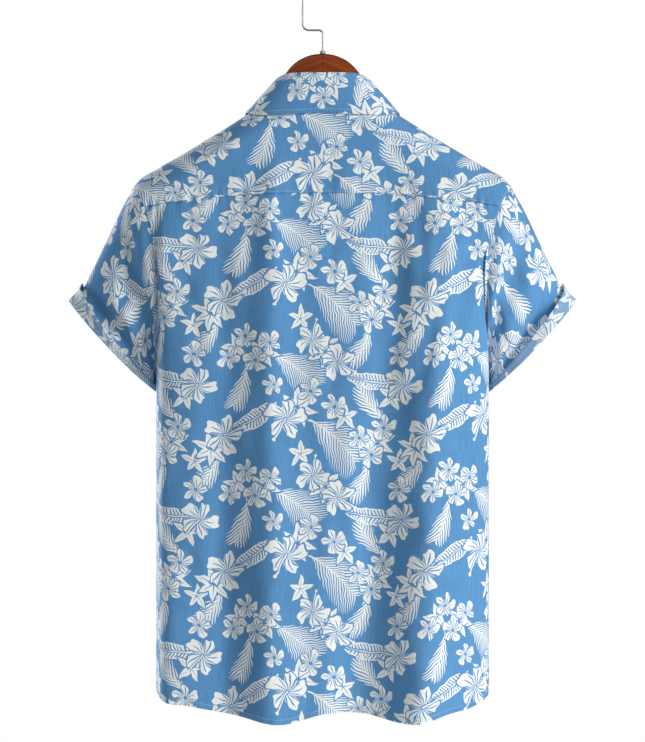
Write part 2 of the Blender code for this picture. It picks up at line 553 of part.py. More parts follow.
def make_sleeve(side_name, sign):
    """A set-in sleeve and the cuff that is turned up over its end."""
    w, ring, body_normal, turn = arm_ring()
    deep = ease((np.abs(w) - ROOM_START) / ROOM_LENGTH)
    away = SEAM + UNDERARM_ROOM * deep
    ring = ring + np.array([1.0, 0, 0]) * away[:, None]
    grid = sleeve_middle(ring, turn, SLEEVE_STEPS)
    normal = -grid_normal(grid, ring=True)
    start = unit(body_normal * (1 - deep)[:, None] + normal[:, 0] * deep[:, None])
    normal[:, 0] = start
    flip = np.array([sign, 1, 1])
    cloth(f"sleeve_{side_name}", grid * flip, normal * flip, ring=True)

    band, off = curve(CUFF_BAND, turn, 1), curve(CUFF_BAND, turn, 2)
    end, end_normal = grid[:, -1], normal[:, -1]
    along = unit(grid[:, -1] - grid[:, -2])
    length = np.linalg.norm(np.diff(grid, axis=1), axis=2).sum(1)
    rows = []
    for angle in ROLL_ANGLES:
        a = math.radians(angle)
        rows.append(end + along * (SEAM + ROLL * math.sin(a)) + end_normal * (ROLL * (1 - math.cos(a))))
    for u in CUFF_STEPS:
        t = 1 - u * band / length
        spot, face = at_share(grid, t), unit(at_share(normal, t))
        rows.append(spot + face * (2 * ROLL + off * u * u)[:, None])
    cuff = np.stack(rows, 1)
    cuff_normal = -grid_normal(cuff, ring=True)
    cuff_normal[:, 0] = end_normal
    cloth(f"cuff_{side_name}", cuff * flip, cuff_normal * flip, "reverse", ring=True)


# ------------------------------------------------------------------ hanger
def make_wood():
    """One flat wooden bar: a tall crown under the hook and two arms that fill the shoulders."""
    crown, arm = np.linspace(0, WOOD_SHOULDER, 9), np.linspace(WOOD_SHOULDER, WOOD_REACH, 9)
    half = np.concatenate([crown[1:], arm[1:]])
    x = np.concatenate([-half[::-1], [0.0], half])
    top = curve(WOOD_EDGE, np.abs(x), 1)
    foot = curve(WOOD_EDGE, np.abs(x), 2)
    thick = np.where(np.abs(x) > WOOD_REACH - 1e-6, WOOD_THICK * WOOD_TIP, WOOD_THICK) / 2
    outline = [(-1, 0, 1), (-1, 1, 0), (-1, -1, 0), (-1, 0, -1), (1, 0, -1), (1, -1, 0), (1, 1, 0), (1, 0, 1)]
    rings = []
    for side, level, cap in outline:
        y = side * (thick - (WOOD_BEVEL if cap else 0))
        z = top if cap > 0 or level > 0 else foot
        z = z - WOOD_BEVEL * level
        rings.append(np.stack([x, y, z], -1))
    grid = np.stack(rings, 1)
    columns = grid.shape[1]
    faces = []
    for i in range(len(x) - 1):
        for j in range(columns):
            n = (j + 1) % columns
            faces.append((i * columns + j, i * columns + n, (i + 1) * columns + n, (i + 1) * columns + j))
    faces.append(tuple(range(columns)))
    faces.append(tuple((len(x) - 1) * columns + j for j in range(columns)))
    place("hanger_wood", grid.reshape(-1, 3), faces, "wood")


def hook_path():
    """Middle of the wire: straight stem, crank to one side, then the round hook over the rail."""
    points = [(0.0, WOOD_TOP + SEAM + FERRULE_HEIGHT + SEAM), (0.0, STEM_TOP)]
    for angle in np.linspace(0, 90, 5):
        a = math.radians(angle)
        points.append((BEND_LOW * (1 - math.cos(a)), CRANK - BEND_LOW * (1 - math.sin(a))))
    for angle in np.linspace(0, 90, 6):
        a = math.radians(angle)
        points.append((HOOK_RADIUS - BEND_HIGH * (1 - math.sin(a)), CRANK + BEND_HIGH * (1 - math.cos(a))))
    middle = WIRE_RADIUS - HOOK_RADIUS
    points.append((HOOK_RADIUS, (CRANK + middle) / 2))
    for angle in np.linspace(0, HOOK_END_ANGLE, 20):
        a = math.radians(angle)
        points.append((HOOK_RADIUS * math.cos(a), middle + HOOK_RADIUS * math.sin(a)))
    return points


def make_hook():
    """Wire of round section along the hook's path, with a rounded tip."""
    path = np.array([(x, 0.0, z) for x, z in hook_path()])
    run = unit(np.gradient(path, axis=0))
    across = np.array([0.0, 1.0, 0.0])
    flat = np.cross(run, across)
    rings = []
    for k in range(WIRE_SIDES):
        a = 2 * math.pi * k / WIRE_SIDES
        rings.append(path + WIRE_RADIUS * (math.cos(a) * across + math.sin(a) * flat))
    grid = np.stack(rings, 1)
    tip = path[-1] + (grid[-1] - path[-1]) * WIRE_TIP[0] + run[-1] * WIRE_RADIUS * WIRE_TIP[1]
    grid = np.concatenate([grid, tip[None]])
    faces = []
    for i in range(len(grid) - 1):
        for j in range(WIRE_SIDES):
            n = (j + 1) % WIRE_SIDES
            faces.append((i * WIRE_SIDES + j, i * WIRE_SIDES + n, (i + 1) * WIRE_SIDES + n,
                          (i + 1) * WIRE_SIDES + j))
    faces.append(tuple(range(WIRE_SIDES)))
    faces.append(tuple((len(grid) - 1) * WIRE_SIDES + j for j in range(WIRE_SIDES)))
    place("hanger_hook", grid.reshape(-1, 3), faces, "steel")


def make_ferrule():
    """A short metal tube with a rounded lip, seated on the crown around the wire."""
    base = WOOD_TOP + SEAM
    top = base + FERRULE_HEIGHT
    profile = [(0, base), (FERRULE_RADIUS, base), (FERRULE_RADIUS, top - FERRULE_LIP),
               (FERRULE_RADIUS - FERRULE_LIP, top), (0, top)]
    turned("hanger_ferrule", profile, FERRULE_SIDES, "steel")


for old in list(bpy.data.objects):
    bpy.data.objects.remove(old)
make_yoke()
make_back()
band, band_normal = make_fronts()
neck_seat = make_stand()
make_buttons(band, band_normal, neck_seat)
make_fall()
make_sleeve("left", 1)
make_sleeve("right", -1)
make_wood()
make_ferrule()
make_hook()
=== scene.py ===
"""Looks of a short-sleeved hawaiian shirt, buttoned up on a wooden hanger and seen from behind.

Metres, +Z up. The wearer's left is +X, the front faces -Y, and the origin is inside the top of the
hook. Every piece is a surface worked out with numpy on the shirt's own sizes.
"""
import math

import bpy
import numpy as np
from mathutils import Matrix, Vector


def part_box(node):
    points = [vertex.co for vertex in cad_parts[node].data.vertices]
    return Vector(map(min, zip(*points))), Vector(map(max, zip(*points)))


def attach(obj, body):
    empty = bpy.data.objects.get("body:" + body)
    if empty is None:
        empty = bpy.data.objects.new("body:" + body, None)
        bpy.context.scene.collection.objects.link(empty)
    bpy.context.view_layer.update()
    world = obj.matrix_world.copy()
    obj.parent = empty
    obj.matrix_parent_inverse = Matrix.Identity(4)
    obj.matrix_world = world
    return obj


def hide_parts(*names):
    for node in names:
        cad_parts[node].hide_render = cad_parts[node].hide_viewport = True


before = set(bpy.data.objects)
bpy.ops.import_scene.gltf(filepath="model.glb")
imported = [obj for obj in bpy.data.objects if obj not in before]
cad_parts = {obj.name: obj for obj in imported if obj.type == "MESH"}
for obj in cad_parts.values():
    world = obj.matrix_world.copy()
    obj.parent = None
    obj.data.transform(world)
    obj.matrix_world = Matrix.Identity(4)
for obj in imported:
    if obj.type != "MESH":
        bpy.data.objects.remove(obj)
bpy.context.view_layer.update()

# ---------------------------------------------------------------------------------------------
# The room: a pale round floor in a white studio, a broad soft lamp on the wearer's right, weaker ones on
# the left and above the camera, and one for the shirt's front. The camera stands 4 m behind the shirt,
# level with its middle.
EYE = (0.0, 4.0, -0.475)
LENS, PICTURE_HEIGHT = 161.7, 36.0         # mm
FLOOR, FLOOR_GREY = -1.30, (0.80, 0.80, 0.80, 1)
FLOOR_PROFILE = [(0.05, 0.0), (0.60, 0.0), (1.17, 0.0), (1.20, -0.004), (1.20, -0.02), (0.05, -0.02)]
SKY, SKY_STRENGTH = (0.90, 0.95, 1.00, 1), 0.086
# each lamp: name, place, width, power, colour
LAMPS = [("side lamp", (-2.56, 1.60, -0.05), 1.40, 90.0, (1.00, 0.99, 0.97)),
         ("far side lamp", (2.73, -0.99, -0.30), 1.60, 44.0, (0.97, 0.98, 1.00)),
         ("upper lamp", (1.10, 2.60, 1.90), 1.60, 31.0, (0.96, 0.98, 1.00)),
         ("hidden side lamp", (1.40, -2.60, 0.30), 1.60, 70.0, (1.00, 1.00, 1.00))]

view = bpy.data.objects.new("camera", bpy.data.cameras.new("camera"))
view.data.lens = LENS
view.data.sensor_width = PICTURE_HEIGHT
view.data.clip_end = 30.0
view.location = EYE
view.rotation_euler = (math.radians(90), 0, math.radians(180))
bpy.context.collection.objects.link(view)
bpy.context.scene.camera = view
bpy.context.scene.view_settings.view_transform = "Standard"

for lamp_name, place, size, power, tint in LAMPS:
    lamp = bpy.data.objects.new(lamp_name, bpy.data.lights.new(lamp_name, "AREA"))
    lamp.data.shape, lamp.data.size = "DISK", size
    lamp.data.energy, lamp.data.color = power, tint
    lamp.location = place
    way = Vector((0.0, 0.0, EYE[2])) - Vector(place)
    lamp.rotation_euler = way.to_track_quat("-Z", "Y").to_euler()
    bpy.context.collection.objects.link(lamp)


def feed(node, inputs):
    """Gives inputs of a node, by name or number, a plain value or a link from another socket."""
    for name, value in inputs.items():
        if isinstance(value, bpy.types.NodeSocket):
            node.id_data.links.new(value, node.inputs[name])
        else:
            node.inputs[name].default_value = value
    return node


def add_node(tree, kind, inputs=None, **settings):
    """A new shader node of one kind, with its settings and inputs."""
    node = tree.nodes.new("ShaderNode" + kind)
    for name, value in settings.items():
        setattr(node, name, value)
    return feed(node, inputs or {})


room = bpy.data.worlds.new("room")
room.use_nodes = True
bpy.context.scene.world = room
sky = feed(room.node_tree.nodes["Background"], {"Color": SKY, "Strength": SKY_STRENGTH})
white = add_node(room.node_tree, "Background", {"Color": (1, 1, 1, 1)})
seen = add_node(room.node_tree, "LightPath")
mixed = add_node(room.node_tree, "MixShader", {0: seen.outputs["Is Camera Ray"], 1: sky.outputs[0],
                                               2: white.outputs[0]})
feed(room.node_tree.nodes["World Output"], {"Surface": mixed.outputs[0]})


def unit(v):
    """Each vector of an array at length 1."""
    return v / np.maximum(np.linalg.norm(v, axis=-1, keepdims=True), 1e-12)


def mesh_piece(name, points, quads, finishes, spots=None, sheet=None, choice=None, caps=()):
    """An object from arrays of points and quads, turned so that its faces point outwards.

    spots is the pattern's map in metres and sheet the same faces laid out in one square, both for
    each corner; choice is each face's finish; caps are the faces that shut a tube's ends."""
    points, quads = np.asarray(points, float), np.asarray(quads)
    a, b, c, d = (points[quads[:, k]] for k in range(4))
    volume = (a * np.cross(b, c)).sum() + (a * np.cross(c, d)).sum()
    order = slice(None) if volume > 0 else slice(None, None, -1)
    mesh = bpy.data.meshes.new(name)
    mesh.from_pydata(points.tolist(), [], quads[:, order].tolist() + [list(cap)[order] for cap in caps])
    for key, values in (("cloth", spots), ("OFBake", sheet)):
        if values is not None:
            layer = mesh.uv_layers.new(name=key)
            layer.data.foreach_set("uv", np.ascontiguousarray(values[:, order], np.float32).ravel())
    for finish in finishes:
        mesh.materials.append(finish)
    if choice is not None:
        mesh.polygons.foreach_set("material_index", np.asarray(choice, np.int32))
    mesh.shade_smooth()
    mesh.set_sharp_from_angle(angle=math.radians(42))
    piece = bpy.data.objects.new(name, mesh)
    bpy.context.collection.objects.link(piece)
    return piece


def tube(name, rings, finish):
    """A piece that is a closed tube through an array of rings of points, with a face at each end."""
    count, around = rings.shape[:2]
    i, j = np.arange(count - 1)[:, None], np.arange(around)[None, :]
    n = (j + 1) % around
    quads = np.stack([i * around + j, i * around + n, (i + 1) * around + n, (i + 1) * around + j], -1)
    caps = [range(around - 1, -1, -1), range((count - 1) * around, count * around)]
    return mesh_piece(name, rings.reshape(-1, 3), quads.reshape(-1, 4), [finish], caps=caps)


def circle(count):
    """Angles of a full turn in equal steps."""
    return np.linspace(0, 2 * np.pi, count + 1)[:-1]


def turned(profile, count=48):
    """Rings of points from a profile of radius and height, turned about the upright axis."""
    radius, height = np.array(profile, float).T[:, :, None]
    turn = circle(count)
    return np.stack([radius * np.cos(turn), radius * np.sin(turn), height + 0 * turn], -1)


def blank_finish(name, numbers):
    """A new material and its Principled shader, whose plain numbers are set on the shader itself."""
    made = bpy.data.materials.new(name)
    made.use_nodes = True
    return made, feed(made.node_tree.nodes["Principled BSDF"], numbers)


paint, _ = blank_finish("floor paint", {"Roughness": 0.9, "Base Color": FLOOR_GREY})
tube("studio_floor", turned(FLOOR_PROFILE, 96) + (0.0, 0.0, FLOOR), paint)

# ---------------------------------------------------------------------------------------------
# The hanger's bar: solid beech with rounded edges, a tall crown under the hook and two arms that
# drop into the shoulders. It is glued from two halves at the middle, stained and varnished.
WOOD_THICK, WOOD_REACH = 0.014, 0.205
WOOD_ROUND, WOOD_END = 0.0036, 0.006       # radius of the rounded edges, length of the rounded ends
# distance from the middle, height of the upper edge, height of the lower edge
WOOD_EDGE = [(-0.020, -0.0983, -0.1600), (0.000, -0.0947, -0.1560), (0.020, -0.0983, -0.1600),
             (0.035, -0.1075, -0.1670), (0.046, -0.1205, -0.1740), (0.058, -0.1430, -0.1820),
             (0.070, -0.1570, -0.1890), (0.090, -0.1703, -0.1990), (0.127, -0.1936, -0.2190),
             (0.175, -0.2223, -0.2450), (0.196, -0.2350, -0.2560), (0.2050, -0.2440, -0.2520)]
STAIN = ((0.114, 0.019, 0.0045), (0.410, 0.082, 0.017))
STAIN_SPAN = (0.32, 0.70)                  # values of the grain's noise at which each brown is full
SOAK_AND_SHADE = 0.42                              # share of colour left in the glued joint, where the stain soaks in, and on the edges as painted shade
JOINT_LINE = (0.00012, 0.00035)            # distances from the middle: darkest up to one, clear at the other
EDGE_SHADE_TURN = (0.45, 0.98)                   # painted shade: the same for how squarely a face looks front or back
GRAIN_SLOPE, GRAIN_STRETCH = 0.42, (9.0, 90.0, 170.0)


def curve(rows, at, column=1):
    """A smooth curve through one column of a table: cubic pieces that share their slopes."""
    table = np.array(rows, float)
    x, y = table[:, 0], table[:, column]
    at = np.clip(at, x[0], x[-1])
    slope = np.gradient(y, x)
    i = np.clip(np.searchsorted(x, at) - 1, 0, len(x) - 2)
    gap = x[i + 1] - x[i]
    t = (at - x[i]) / gap
    return (y[i] * (1 + 2 * t) * (1 - t) ** 2 + y[i + 1] * t * t * (3 - 2 * t)
            + gap * t * (1 - t) * (slope[i] * (1 - t) - slope[i + 1] * t))


def wood_rings():
    """Sections of the bar at places along X: an upright rectangle with quarter rounds for corners.

    The places lie closer together towards the ends, where the section shrinks in a quarter round."""
    x = WOOD_REACH * np.sin(np.linspace(-np.pi / 2, np.pi / 2, 181)) * (1 - 1e-4)
    x = x * 0.35 + np.linspace(-WOOD_REACH, WOOD_REACH, len(x)) * 0.65
    end = np.clip((WOOD_REACH - np.abs(x)) / WOOD_END, 0.0, 1.0)
    shrink = np.sqrt(1 - (1 - end) ** 2) * 0.92 + 0.08
    top, foot = curve(WOOD_EDGE, np.abs(x), 1), curve(WOOD_EDGE, np.abs(x), 2)
    middle, tall = (top + foot) / 2, (top - foot) / 2 * shrink
    wide = WOOD_THICK / 2 * shrink
    corner = np.minimum(WOOD_ROUND, np.minimum(wide, tall) * 0.9)
    bend = np.linspace(0, np.pi / 2, 7)
    around = np.concatenate([bend + quarter * np.pi / 2 for quarter in range(4)])
    sides = np.repeat([(1, 1), (-1, 1), (-1, -1), (1, -1)], len(bend), axis=0)
    y = (wide - corner)[:, None] * sides[:, 0] + corner[:, None] * np.cos(around)
    z = middle[:, None] + (tall - corner)[:, None] * sides[:, 1] + corner[:, None] * np.sin(around)
    return np.stack([x[:, None] + 0 * y, y, z], -1)


def relief(tree, height, strength, distance):
    """The normal of a surface that a mask raises by up to a distance, as a socket."""
    return add_node(tree, "Bump", {"Height": height, "Strength": strength, "Distance": distance}).outputs[0]


def wood_finish():
    """Stained beech under varnish: long grain in two depths of brown, darker in the pores and in the glued
    joint at the middle, where the stain soaks in, with painted shade on the faces turned from front and back."""
    made, shader = blank_finish("stained beech", {"Roughness": 0.34, "Specular IOR Level": 0.25,
                                                  "Coat Weight": 0.12, "Coat Roughness": 0.16})
    tree = made.node_tree
    spot = add_node(tree, "TexCoord")
    place = add_node(tree, "SeparateXYZ", {0: spot.outputs["Object"]})
    facing = add_node(tree, "SeparateXYZ", {0: spot.outputs["Normal"]})
    aside = add_node(tree, "Math", {0: place.outputs[0]}, operation="ABSOLUTE")
    flat_on = add_node(tree, "Math", {0: facing.outputs[1]}, operation="ABSOLUTE")
    # the joint darkens where the stain soaks in; the faces turned from front and back get painted shade
    joint, edges = (add_node(tree, "MapRange", {"Value": size.outputs[0], "From Min": low, "From Max": high,
                                                "To Min": SOAK_AND_SHADE})
                    for size, (low, high) in ((aside, JOINT_LINE), (flat_on, EDGE_SHADE_TURN)))
    # the grain runs down each arm, so that the two halves meet at an angle
    leaned = add_node(tree, "Math", {0: aside.outputs[0], 1: GRAIN_SLOPE, 2: place.outputs[2]},
                      operation="MULTIPLY_ADD")
    along = add_node(tree, "CombineXYZ", {0: place.outputs[0], 1: place.outputs[1], 2: leaned.outputs[0]})
    stretch = add_node(tree, "Mapping", {"Vector": along.outputs[0], "Scale": GRAIN_STRETCH})
    grain = add_node(tree, "TexNoise", {"Vector": stretch.outputs[0], "Scale": 1.6, "Detail": 6.0,
                                        "Distortion": 0.8})
    ramp = add_node(tree, "ValToRGB", {0: grain.outputs["Fac"]})
    for step, at, brown in zip(ramp.color_ramp.elements, STAIN_SPAN, STAIN):
        step.position = at
        step.color = (*brown, 1)
    soak_and_shade = add_node(tree, "Math", {0: joint.outputs[0], 1: edges.outputs[0]}, operation="MULTIPLY")
    stained = add_node(tree, "VectorMath", {0: ramp.outputs[0], "Scale": soak_and_shade.outputs[0]},
                       operation="SCALE")
    feed(shader, {"Base Color": stained.outputs[0],
                  "Normal": relief(tree, grain.outputs["Fac"], 0.12, 0.0004)})
    return made


def stands_for(piece, node):
    """Hangs a piece from the shirt's root, so that it moves with the shirt, and hides the solid whose place
    it takes.
    """
    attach(piece, "root")
    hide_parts(node)


stands_for(tube("hanger_bar", wood_rings(), wood_finish()), "hanger_wood")

# ---------------------------------------------------------------------------------------------
# The hook: one length of bright nickel-plated wire, bent cold. It rises from the bar, cranks aside
# and goes round over the rail; a short pressed collar seats it on the crown.
WIRE_RADIUS, HOOK_RADIUS = 0.0012, 0.0240
CRANK, BEND_LOW, BEND_HIGH = -0.0660, 0.0045, 0.0075   # height of the crank, radii of its bends
STEM_FOOT, HOOK_END = -0.0910, 188                     # the wire's lower end, the hook's in degrees
NICKEL, NICKEL_ROUGH = (0.50, 0.47, 0.41), 0.55
COLLAR_LIP, COLLAR_BORE = 0.0005, 0.0014


def hook_path():
    """Middle of the wire: a stem, two quarter bends, an upright and most of a circle over the rail."""
    low, high, over_rail = (np.radians(np.linspace(0, end, steps))[:, None] for end, steps in
                            ((90, 10), (90, 12), (HOOK_END, 64)))
    hub = WIRE_RADIUS - HOOK_RADIUS
    stem = np.stack([np.zeros(8), np.linspace(STEM_FOOT, CRANK - BEND_LOW, 8)], -1)[:-1]
    first = np.hstack([BEND_LOW * (1 - np.cos(low)), CRANK - BEND_LOW * (1 - np.sin(low))])
    second = np.hstack([HOOK_RADIUS - BEND_HIGH * (1 - np.sin(high)),
                        CRANK + BEND_HIGH * (1 - np.cos(high))])
    upright = np.stack([np.full(10, HOOK_RADIUS), np.linspace(CRANK + BEND_HIGH, hub, 10)], -1)[1:-1]
    bow = np.hstack([HOOK_RADIUS * np.cos(over_rail), hub + HOOK_RADIUS * np.sin(over_rail)])
    flat = np.concatenate([stem, first, second, upright, bow])
    return np.stack([flat[:, 0], 0 * flat[:, 0], flat[:, 1]], -1)


def wire_rings(path, radius, sides):
    """Circles square to a path in the XZ plane; the last few shrink to a rounded tip."""
    run = unit(np.gradient(path, axis=0))
    angle = circle(sides)[None, :, None]
    depth = np.array([0.0, 1.0, 0.0])
    around = np.cos(angle) * depth + np.sin(angle) * np.cross(run, depth)[:, None]
    rings = path[:, None] + radius * around
    tip = np.sin(np.linspace(0, np.pi / 2, 6)[1:] * 0.98)[:, None, None]
    cap = path[-1] + radius * around[-1] * np.sqrt(1 - tip ** 2) + run[-1] * radius * tip
    return np.concatenate([rings, cap])


def metal_finish(name, tint, rough):
    """Bright plating with faint drawing marks and a little uneven polish."""
    made, shader = blank_finish(name, {"Roughness": rough, "Metallic": 1.0, "Base Color": (*tint, 1)})
    tree = made.node_tree
    spot = add_node(tree, "TexCoord")
    smear = add_node(tree, "TexNoise", {"Vector": spot.outputs["Object"], "Scale": 420.0, "Detail": 3.0})
    span = add_node(tree, "MapRange", {"Value": smear.outputs["Fac"], "To Min": rough * 0.88,
                                       "To Max": rough * 1.15})
    feed(shader, {"Roughness": span.outputs[0]})
    return made


nickel = metal_finish("nickel plate", NICKEL, NICKEL_ROUGH)
stands_for(tube("hook_wire", wire_rings(hook_path(), WIRE_RADIUS, 16), nickel), "hanger_hook")

low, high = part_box("hanger_ferrule")
seat, tall, radius, lip = low.z, high.z - low.z, high.x, COLLAR_LIP
profile = [(COLLAR_BORE, seat), (radius - lip, seat), (radius, seat + lip), (radius, seat + 2 * lip),
           (radius - lip / 2, seat + 2.6 * lip), (radius - lip / 2, seat + tall - 2.2 * lip),
           (radius, seat + tall - 1.8 * lip), (radius, seat + tall - lip), (radius - lip, seat + tall),
           (COLLAR_BORE + 0.0002, seat + tall), (COLLAR_BORE, seat + tall - lip)]
stands_for(tube("hook_collar", turned(profile), nickel), "hanger_ferrule")

# ---------------------------------------------------------------------------------------------
# The cloth: plain-woven cotton, about 145 g/m2, printed on its face with white flowers and leaves
# on mid blue. The reverse shows the print faintly. All of the trunk's pieces lie on one surface.
CLOTH = 0.0009                # thickness
HALF_BODY, BODY_POWER = 0.1986, 3.6        # half width, and how square the section is
SHOULDER_DROP, SHOULDER_GIRTH = 0.034, 0.058   # height and girth of the turn over the shoulder
FRONT_YOKE, UNDERARM = 0.038, 0.231        # both lengths along the cloth from the shoulder line
# the shoulder line's x and z; half depth and half width at heights; the armhole's x at lengths
# along the cloth from the shoulder line; x and z of the back's yoke seam and of both hems
RIDGE = [(-0.030, -0.1385), (0.000, -0.1350), (0.030, -0.1385), (0.060, -0.1500), (0.074, -0.1580),
         (0.090, -0.1680), (0.127, -0.1913), (0.175, -0.2200), (0.200, -0.2345), (0.221, -0.2485),
         (0.2286, -0.2590), (0.240, -0.2790)]
DEPTH = [(-0.900, 0.074), (-0.700, 0.072), (-0.450, 0.070), (-0.340, 0.062), (-0.260, 0.048),
         (-0.200, 0.038), (-0.100, 0.030)]
WIDTH = [(-0.900, HALF_BODY), (-0.480, HALF_BODY), (-0.445, HALF_BODY), (-0.400, 0.2030),
         (-0.370, 0.2120), (-0.340, 0.2260), (-0.310, 0.2430), (-0.280, 0.2560), (-0.250, 0.2650),
         (-0.100, 0.2700)]
ARMHOLE = [(0.000, 0.2286), (0.026, 0.2240), (0.057, 0.2130), (0.107, 0.2010), (0.134, 0.1965),
           (0.179, 0.1955), (0.206, 0.1970), (UNDERARM, HALF_BODY)]
YOKE_SEAM = [(0.000, -0.2635), (0.060, -0.2645), (0.104, -0.2670), (0.140, -0.2700), (0.176, -0.2740),
             (0.212, -0.2795), (0.240, -0.2850)]
BACK_HEM = [(-0.1986, -0.8605), (-0.180, -0.8715), (-0.149, -0.8795), (-0.107, -0.8905),
            (-0.088, -0.8885), (-0.046, -0.8795), (-0.008, -0.8790), (0.051, -0.8910),
            (0.097, -0.8825), (0.158, -0.8705), (0.189, -0.8645), (0.1986, -0.8575)]
FRONT_HEM = [(-0.1986, -0.8605), (-0.185, -0.8680), (-0.150, -0.8760), (-0.090, -0.8870), (-0.020, -0.8890),
             (0.060, -0.8900), (0.120, -0.8820), (0.165, -0.8720), (0.189, -0.8650), (0.1986, -0.8575)]
# folds that hang from the yoke: x at the yoke, x at the hem, half width, height at the hem
BACK_FOLDS = [(0.062, 0.060, 0.028, 0.0155), (0.120, 0.112, 0.024, -0.0085),
              (0.200, 0.200, 0.040, 0.0220), (-0.144, -0.116, 0.033, 0.0205),
              (-0.086, -0.048, 0.034, -0.0155), (-0.006, -0.022, 0.014, -0.0022)]
FRONT_FOLDS = [(-0.060, -0.085, 0.030, 0.0080), (-0.110, -0.150, 0.026, -0.0080),
               (0.075, 0.100, 0.030, 0.0090), (0.120, 0.152, 0.024, -0.0075), (0.035, 0.050, 0.018, -0.0035)]
FOLD_TOP, FOLD_FOOT = -0.230, -0.880       # heights between which a fold grows
FOLD_START, FOLD_NARROW = 0.36, 0.62       # shares of its height and half width that it has at the top
FOLD_FADE = (0.085, 0.010)    # no fold at the shoulder's turn and the side seam; full at these lengths off
# creases: x and z of the middle, half length, half width, lean from upright in degrees, height
BACK_CREASES = [(0.164, -0.360, 0.070, 0.010, 20, -0.0022), (0.058, -0.325, 0.060, 0.010, 12, 0.0022),
                (-0.150, -0.350, 0.060, 0.011, -30, 0.0032), (-0.172, -0.430, 0.080, 0.010, -14, 0.0022),
                (-0.106, -0.400, 0.120, 0.010, -4, 0.0028), (-0.134, -0.400, 0.110, 0.009, -8, -0.0030),
                (0.030, -0.330, 0.060, 0.010, 4, 0.0010), (-0.040, -0.360, 0.070, 0.011, -5, -0.0014),
                (0.176, -0.560, 0.110, 0.010, 3, -0.0012), (-0.010, -0.620, 0.120, 0.012, 2, 0.0014),
                (0.045, -0.780, 0.080, 0.010, -3, -0.0014), (-0.178, -0.700, 0.100, 0.009, -2, -0.0014)]
FRONT_CREASES = [(0.150, -0.360, 0.070, 0.012, 22, -0.0022), (-0.150, -0.360, 0.070, 0.012, -24, -0.0022),
                 (0.165, -0.520, 0.100, 0.011, 4, 0.0016), (-0.170, -0.600, 0.110, 0.010, -3, -0.0016),
                 (-0.040, -0.700, 0.100, 0.010, 2, 0.0012), (0.055, -0.780, 0.080, 0.011, -3, -0.0014)]
# puckers beside the yoke seam and the hem: height, reach, length of one
SEAM_PUCKER, HEM_PUCKER = (0.0011, 0.011, 0.0125), (0.0006, 0.012, 0.0170)
# a slight crumple all over: length and direction in degrees of each wave, height
CRUMPLE = [(0.061, 12, 0.00042), (0.047, -31, 0.00036), (0.036, 63, 0.00024), (0.029, -8, 0.00022),
           (0.024, 38, 0.00015), (0.083, -70, 0.00040)]


def ease(t):
    """0 to 1 with no corner at either end."""
    t = np.clip(t, 0, 1)
    return t * t * (3 - 2 * t)


def ridge(x):
    """Height of the shoulder line at a distance from the middle."""
    return curve(RIDGE, np.abs(x))


def drop(w):
    """Height below the shoulder line at a distance along the cloth: a quarter turn, then plumb."""
    turn = np.minimum(np.abs(w) / SHOULDER_GIRTH, 1) * math.pi / 2
    return SHOULDER_DROP * (1 - np.cos(turn)) + np.maximum(np.abs(w) - SHOULDER_GIRTH, 0)


def uneven(x, wave, start=0.0):
    """A ripple along x that speeds up and slows down, and grows and fades, between -1 and 1."""
    slow = np.sin(x * 2 * np.pi / (wave * 5.3) + start)
    quick = np.sin(x * 2 * np.pi / wave + 2.2 * slow + start)
    return quick * (0.62 + 0.38 * np.sin(x * 2 * np.pi / (wave * 3.1)))


def crumple(u, v):
    """A slight unevenness of worn cloth: waves in several directions that bend each other."""
    total = np.zeros(np.broadcast(u, v).shape)
    for k, (wave, way, height) in enumerate(CRUMPLE):
        c, s = math.cos(math.radians(way)), math.sin(math.radians(way))
        across, along = u * c + v * s, v * c - u * s
        bend = 1.3 * np.sin(along * 2 * np.pi / (wave * 2.7) + 1.9 * k)
        total = total + height * np.sin(across * 2 * np.pi / wave + bend + 2.3 * k)
    return total


def crease(across, up, long, half, lean, height, bow=0.0):
    """Height of one crease at places across and up from its middle: a Gaussian over it that fades
    at both ends. It leans from upright by an angle in degrees and bends as an arc by bow."""
    c, s = math.cos(math.radians(lean)), math.sin(math.radians(lean))
    along = up * c + across * s
    off = across * c - up * s - bow * along ** 2 / long
    return height * np.exp(-(off / half) ** 2 - (along / long) ** 4)


def folds(x, z, side):
    """How far hanging folds, creases and puckers push the cloth out, at the back or the front.

    A fold is a Gaussian across and grows downwards, a crease fades at both ends, and puckers
    ripple beside the yoke seam and along the hem."""
    down = np.clip((FOLD_TOP - z) / (FOLD_TOP - FOLD_FOOT), 0, 1)
    strength = FOLD_START + (1 - FOLD_START) * down
    total = np.zeros(np.broadcast(x, z).shape)
    for top, foot, half, height in BACK_FOLDS if side > 0 else FRONT_FOLDS:
        wide = half * (FOLD_NARROW + (1 - FOLD_NARROW) * down)
        total = total + height * np.exp(-((x - top - (foot - top) * down) / wide) ** 2) * strength
    for x_mid, z_mid, *shape in BACK_CREASES if side > 0 else FRONT_CREASES:
        total = total + crease(x - x_mid, z - z_mid, *shape, bow=0.12)
    clear = ease((ridge(x) - z - SHOULDER_DROP) / FOLD_FADE[0]) * ease((HALF_BODY - np.abs(x)) / FOLD_FADE[1])
    total = (total + crumple(x, z * 0.6 + 0.31 * side)) * clear
    if side > 0:
        height, reach, wave = SEAM_PUCKER
        away = np.abs(z - curve(YOKE_SEAM, np.abs(x)))
        total = total + height * np.exp(-(away / reach) ** 1.5) * uneven(x, wave)
    height, reach, wave = HEM_PUCKER
    hem = z - curve(BACK_HEM if side > 0 else FRONT_HEM, x)
    return total + height * np.exp(-(hem / reach) ** 2) * uneven(x + 0.4 * hem, wave, 1.0)


def depth_share(x, z):
    """Share of the full depth at x and z: a superellipse across, a quarter circle at the shoulder."""
    high = np.clip(1 - (ridge(x) - z) / SHOULDER_DROP, 0, 1)
    across = np.clip(1 - (np.abs(x) / curve(WIDTH, z)) ** BODY_POWER, 0, 1) ** (1 / BODY_POWER)
    return across, high


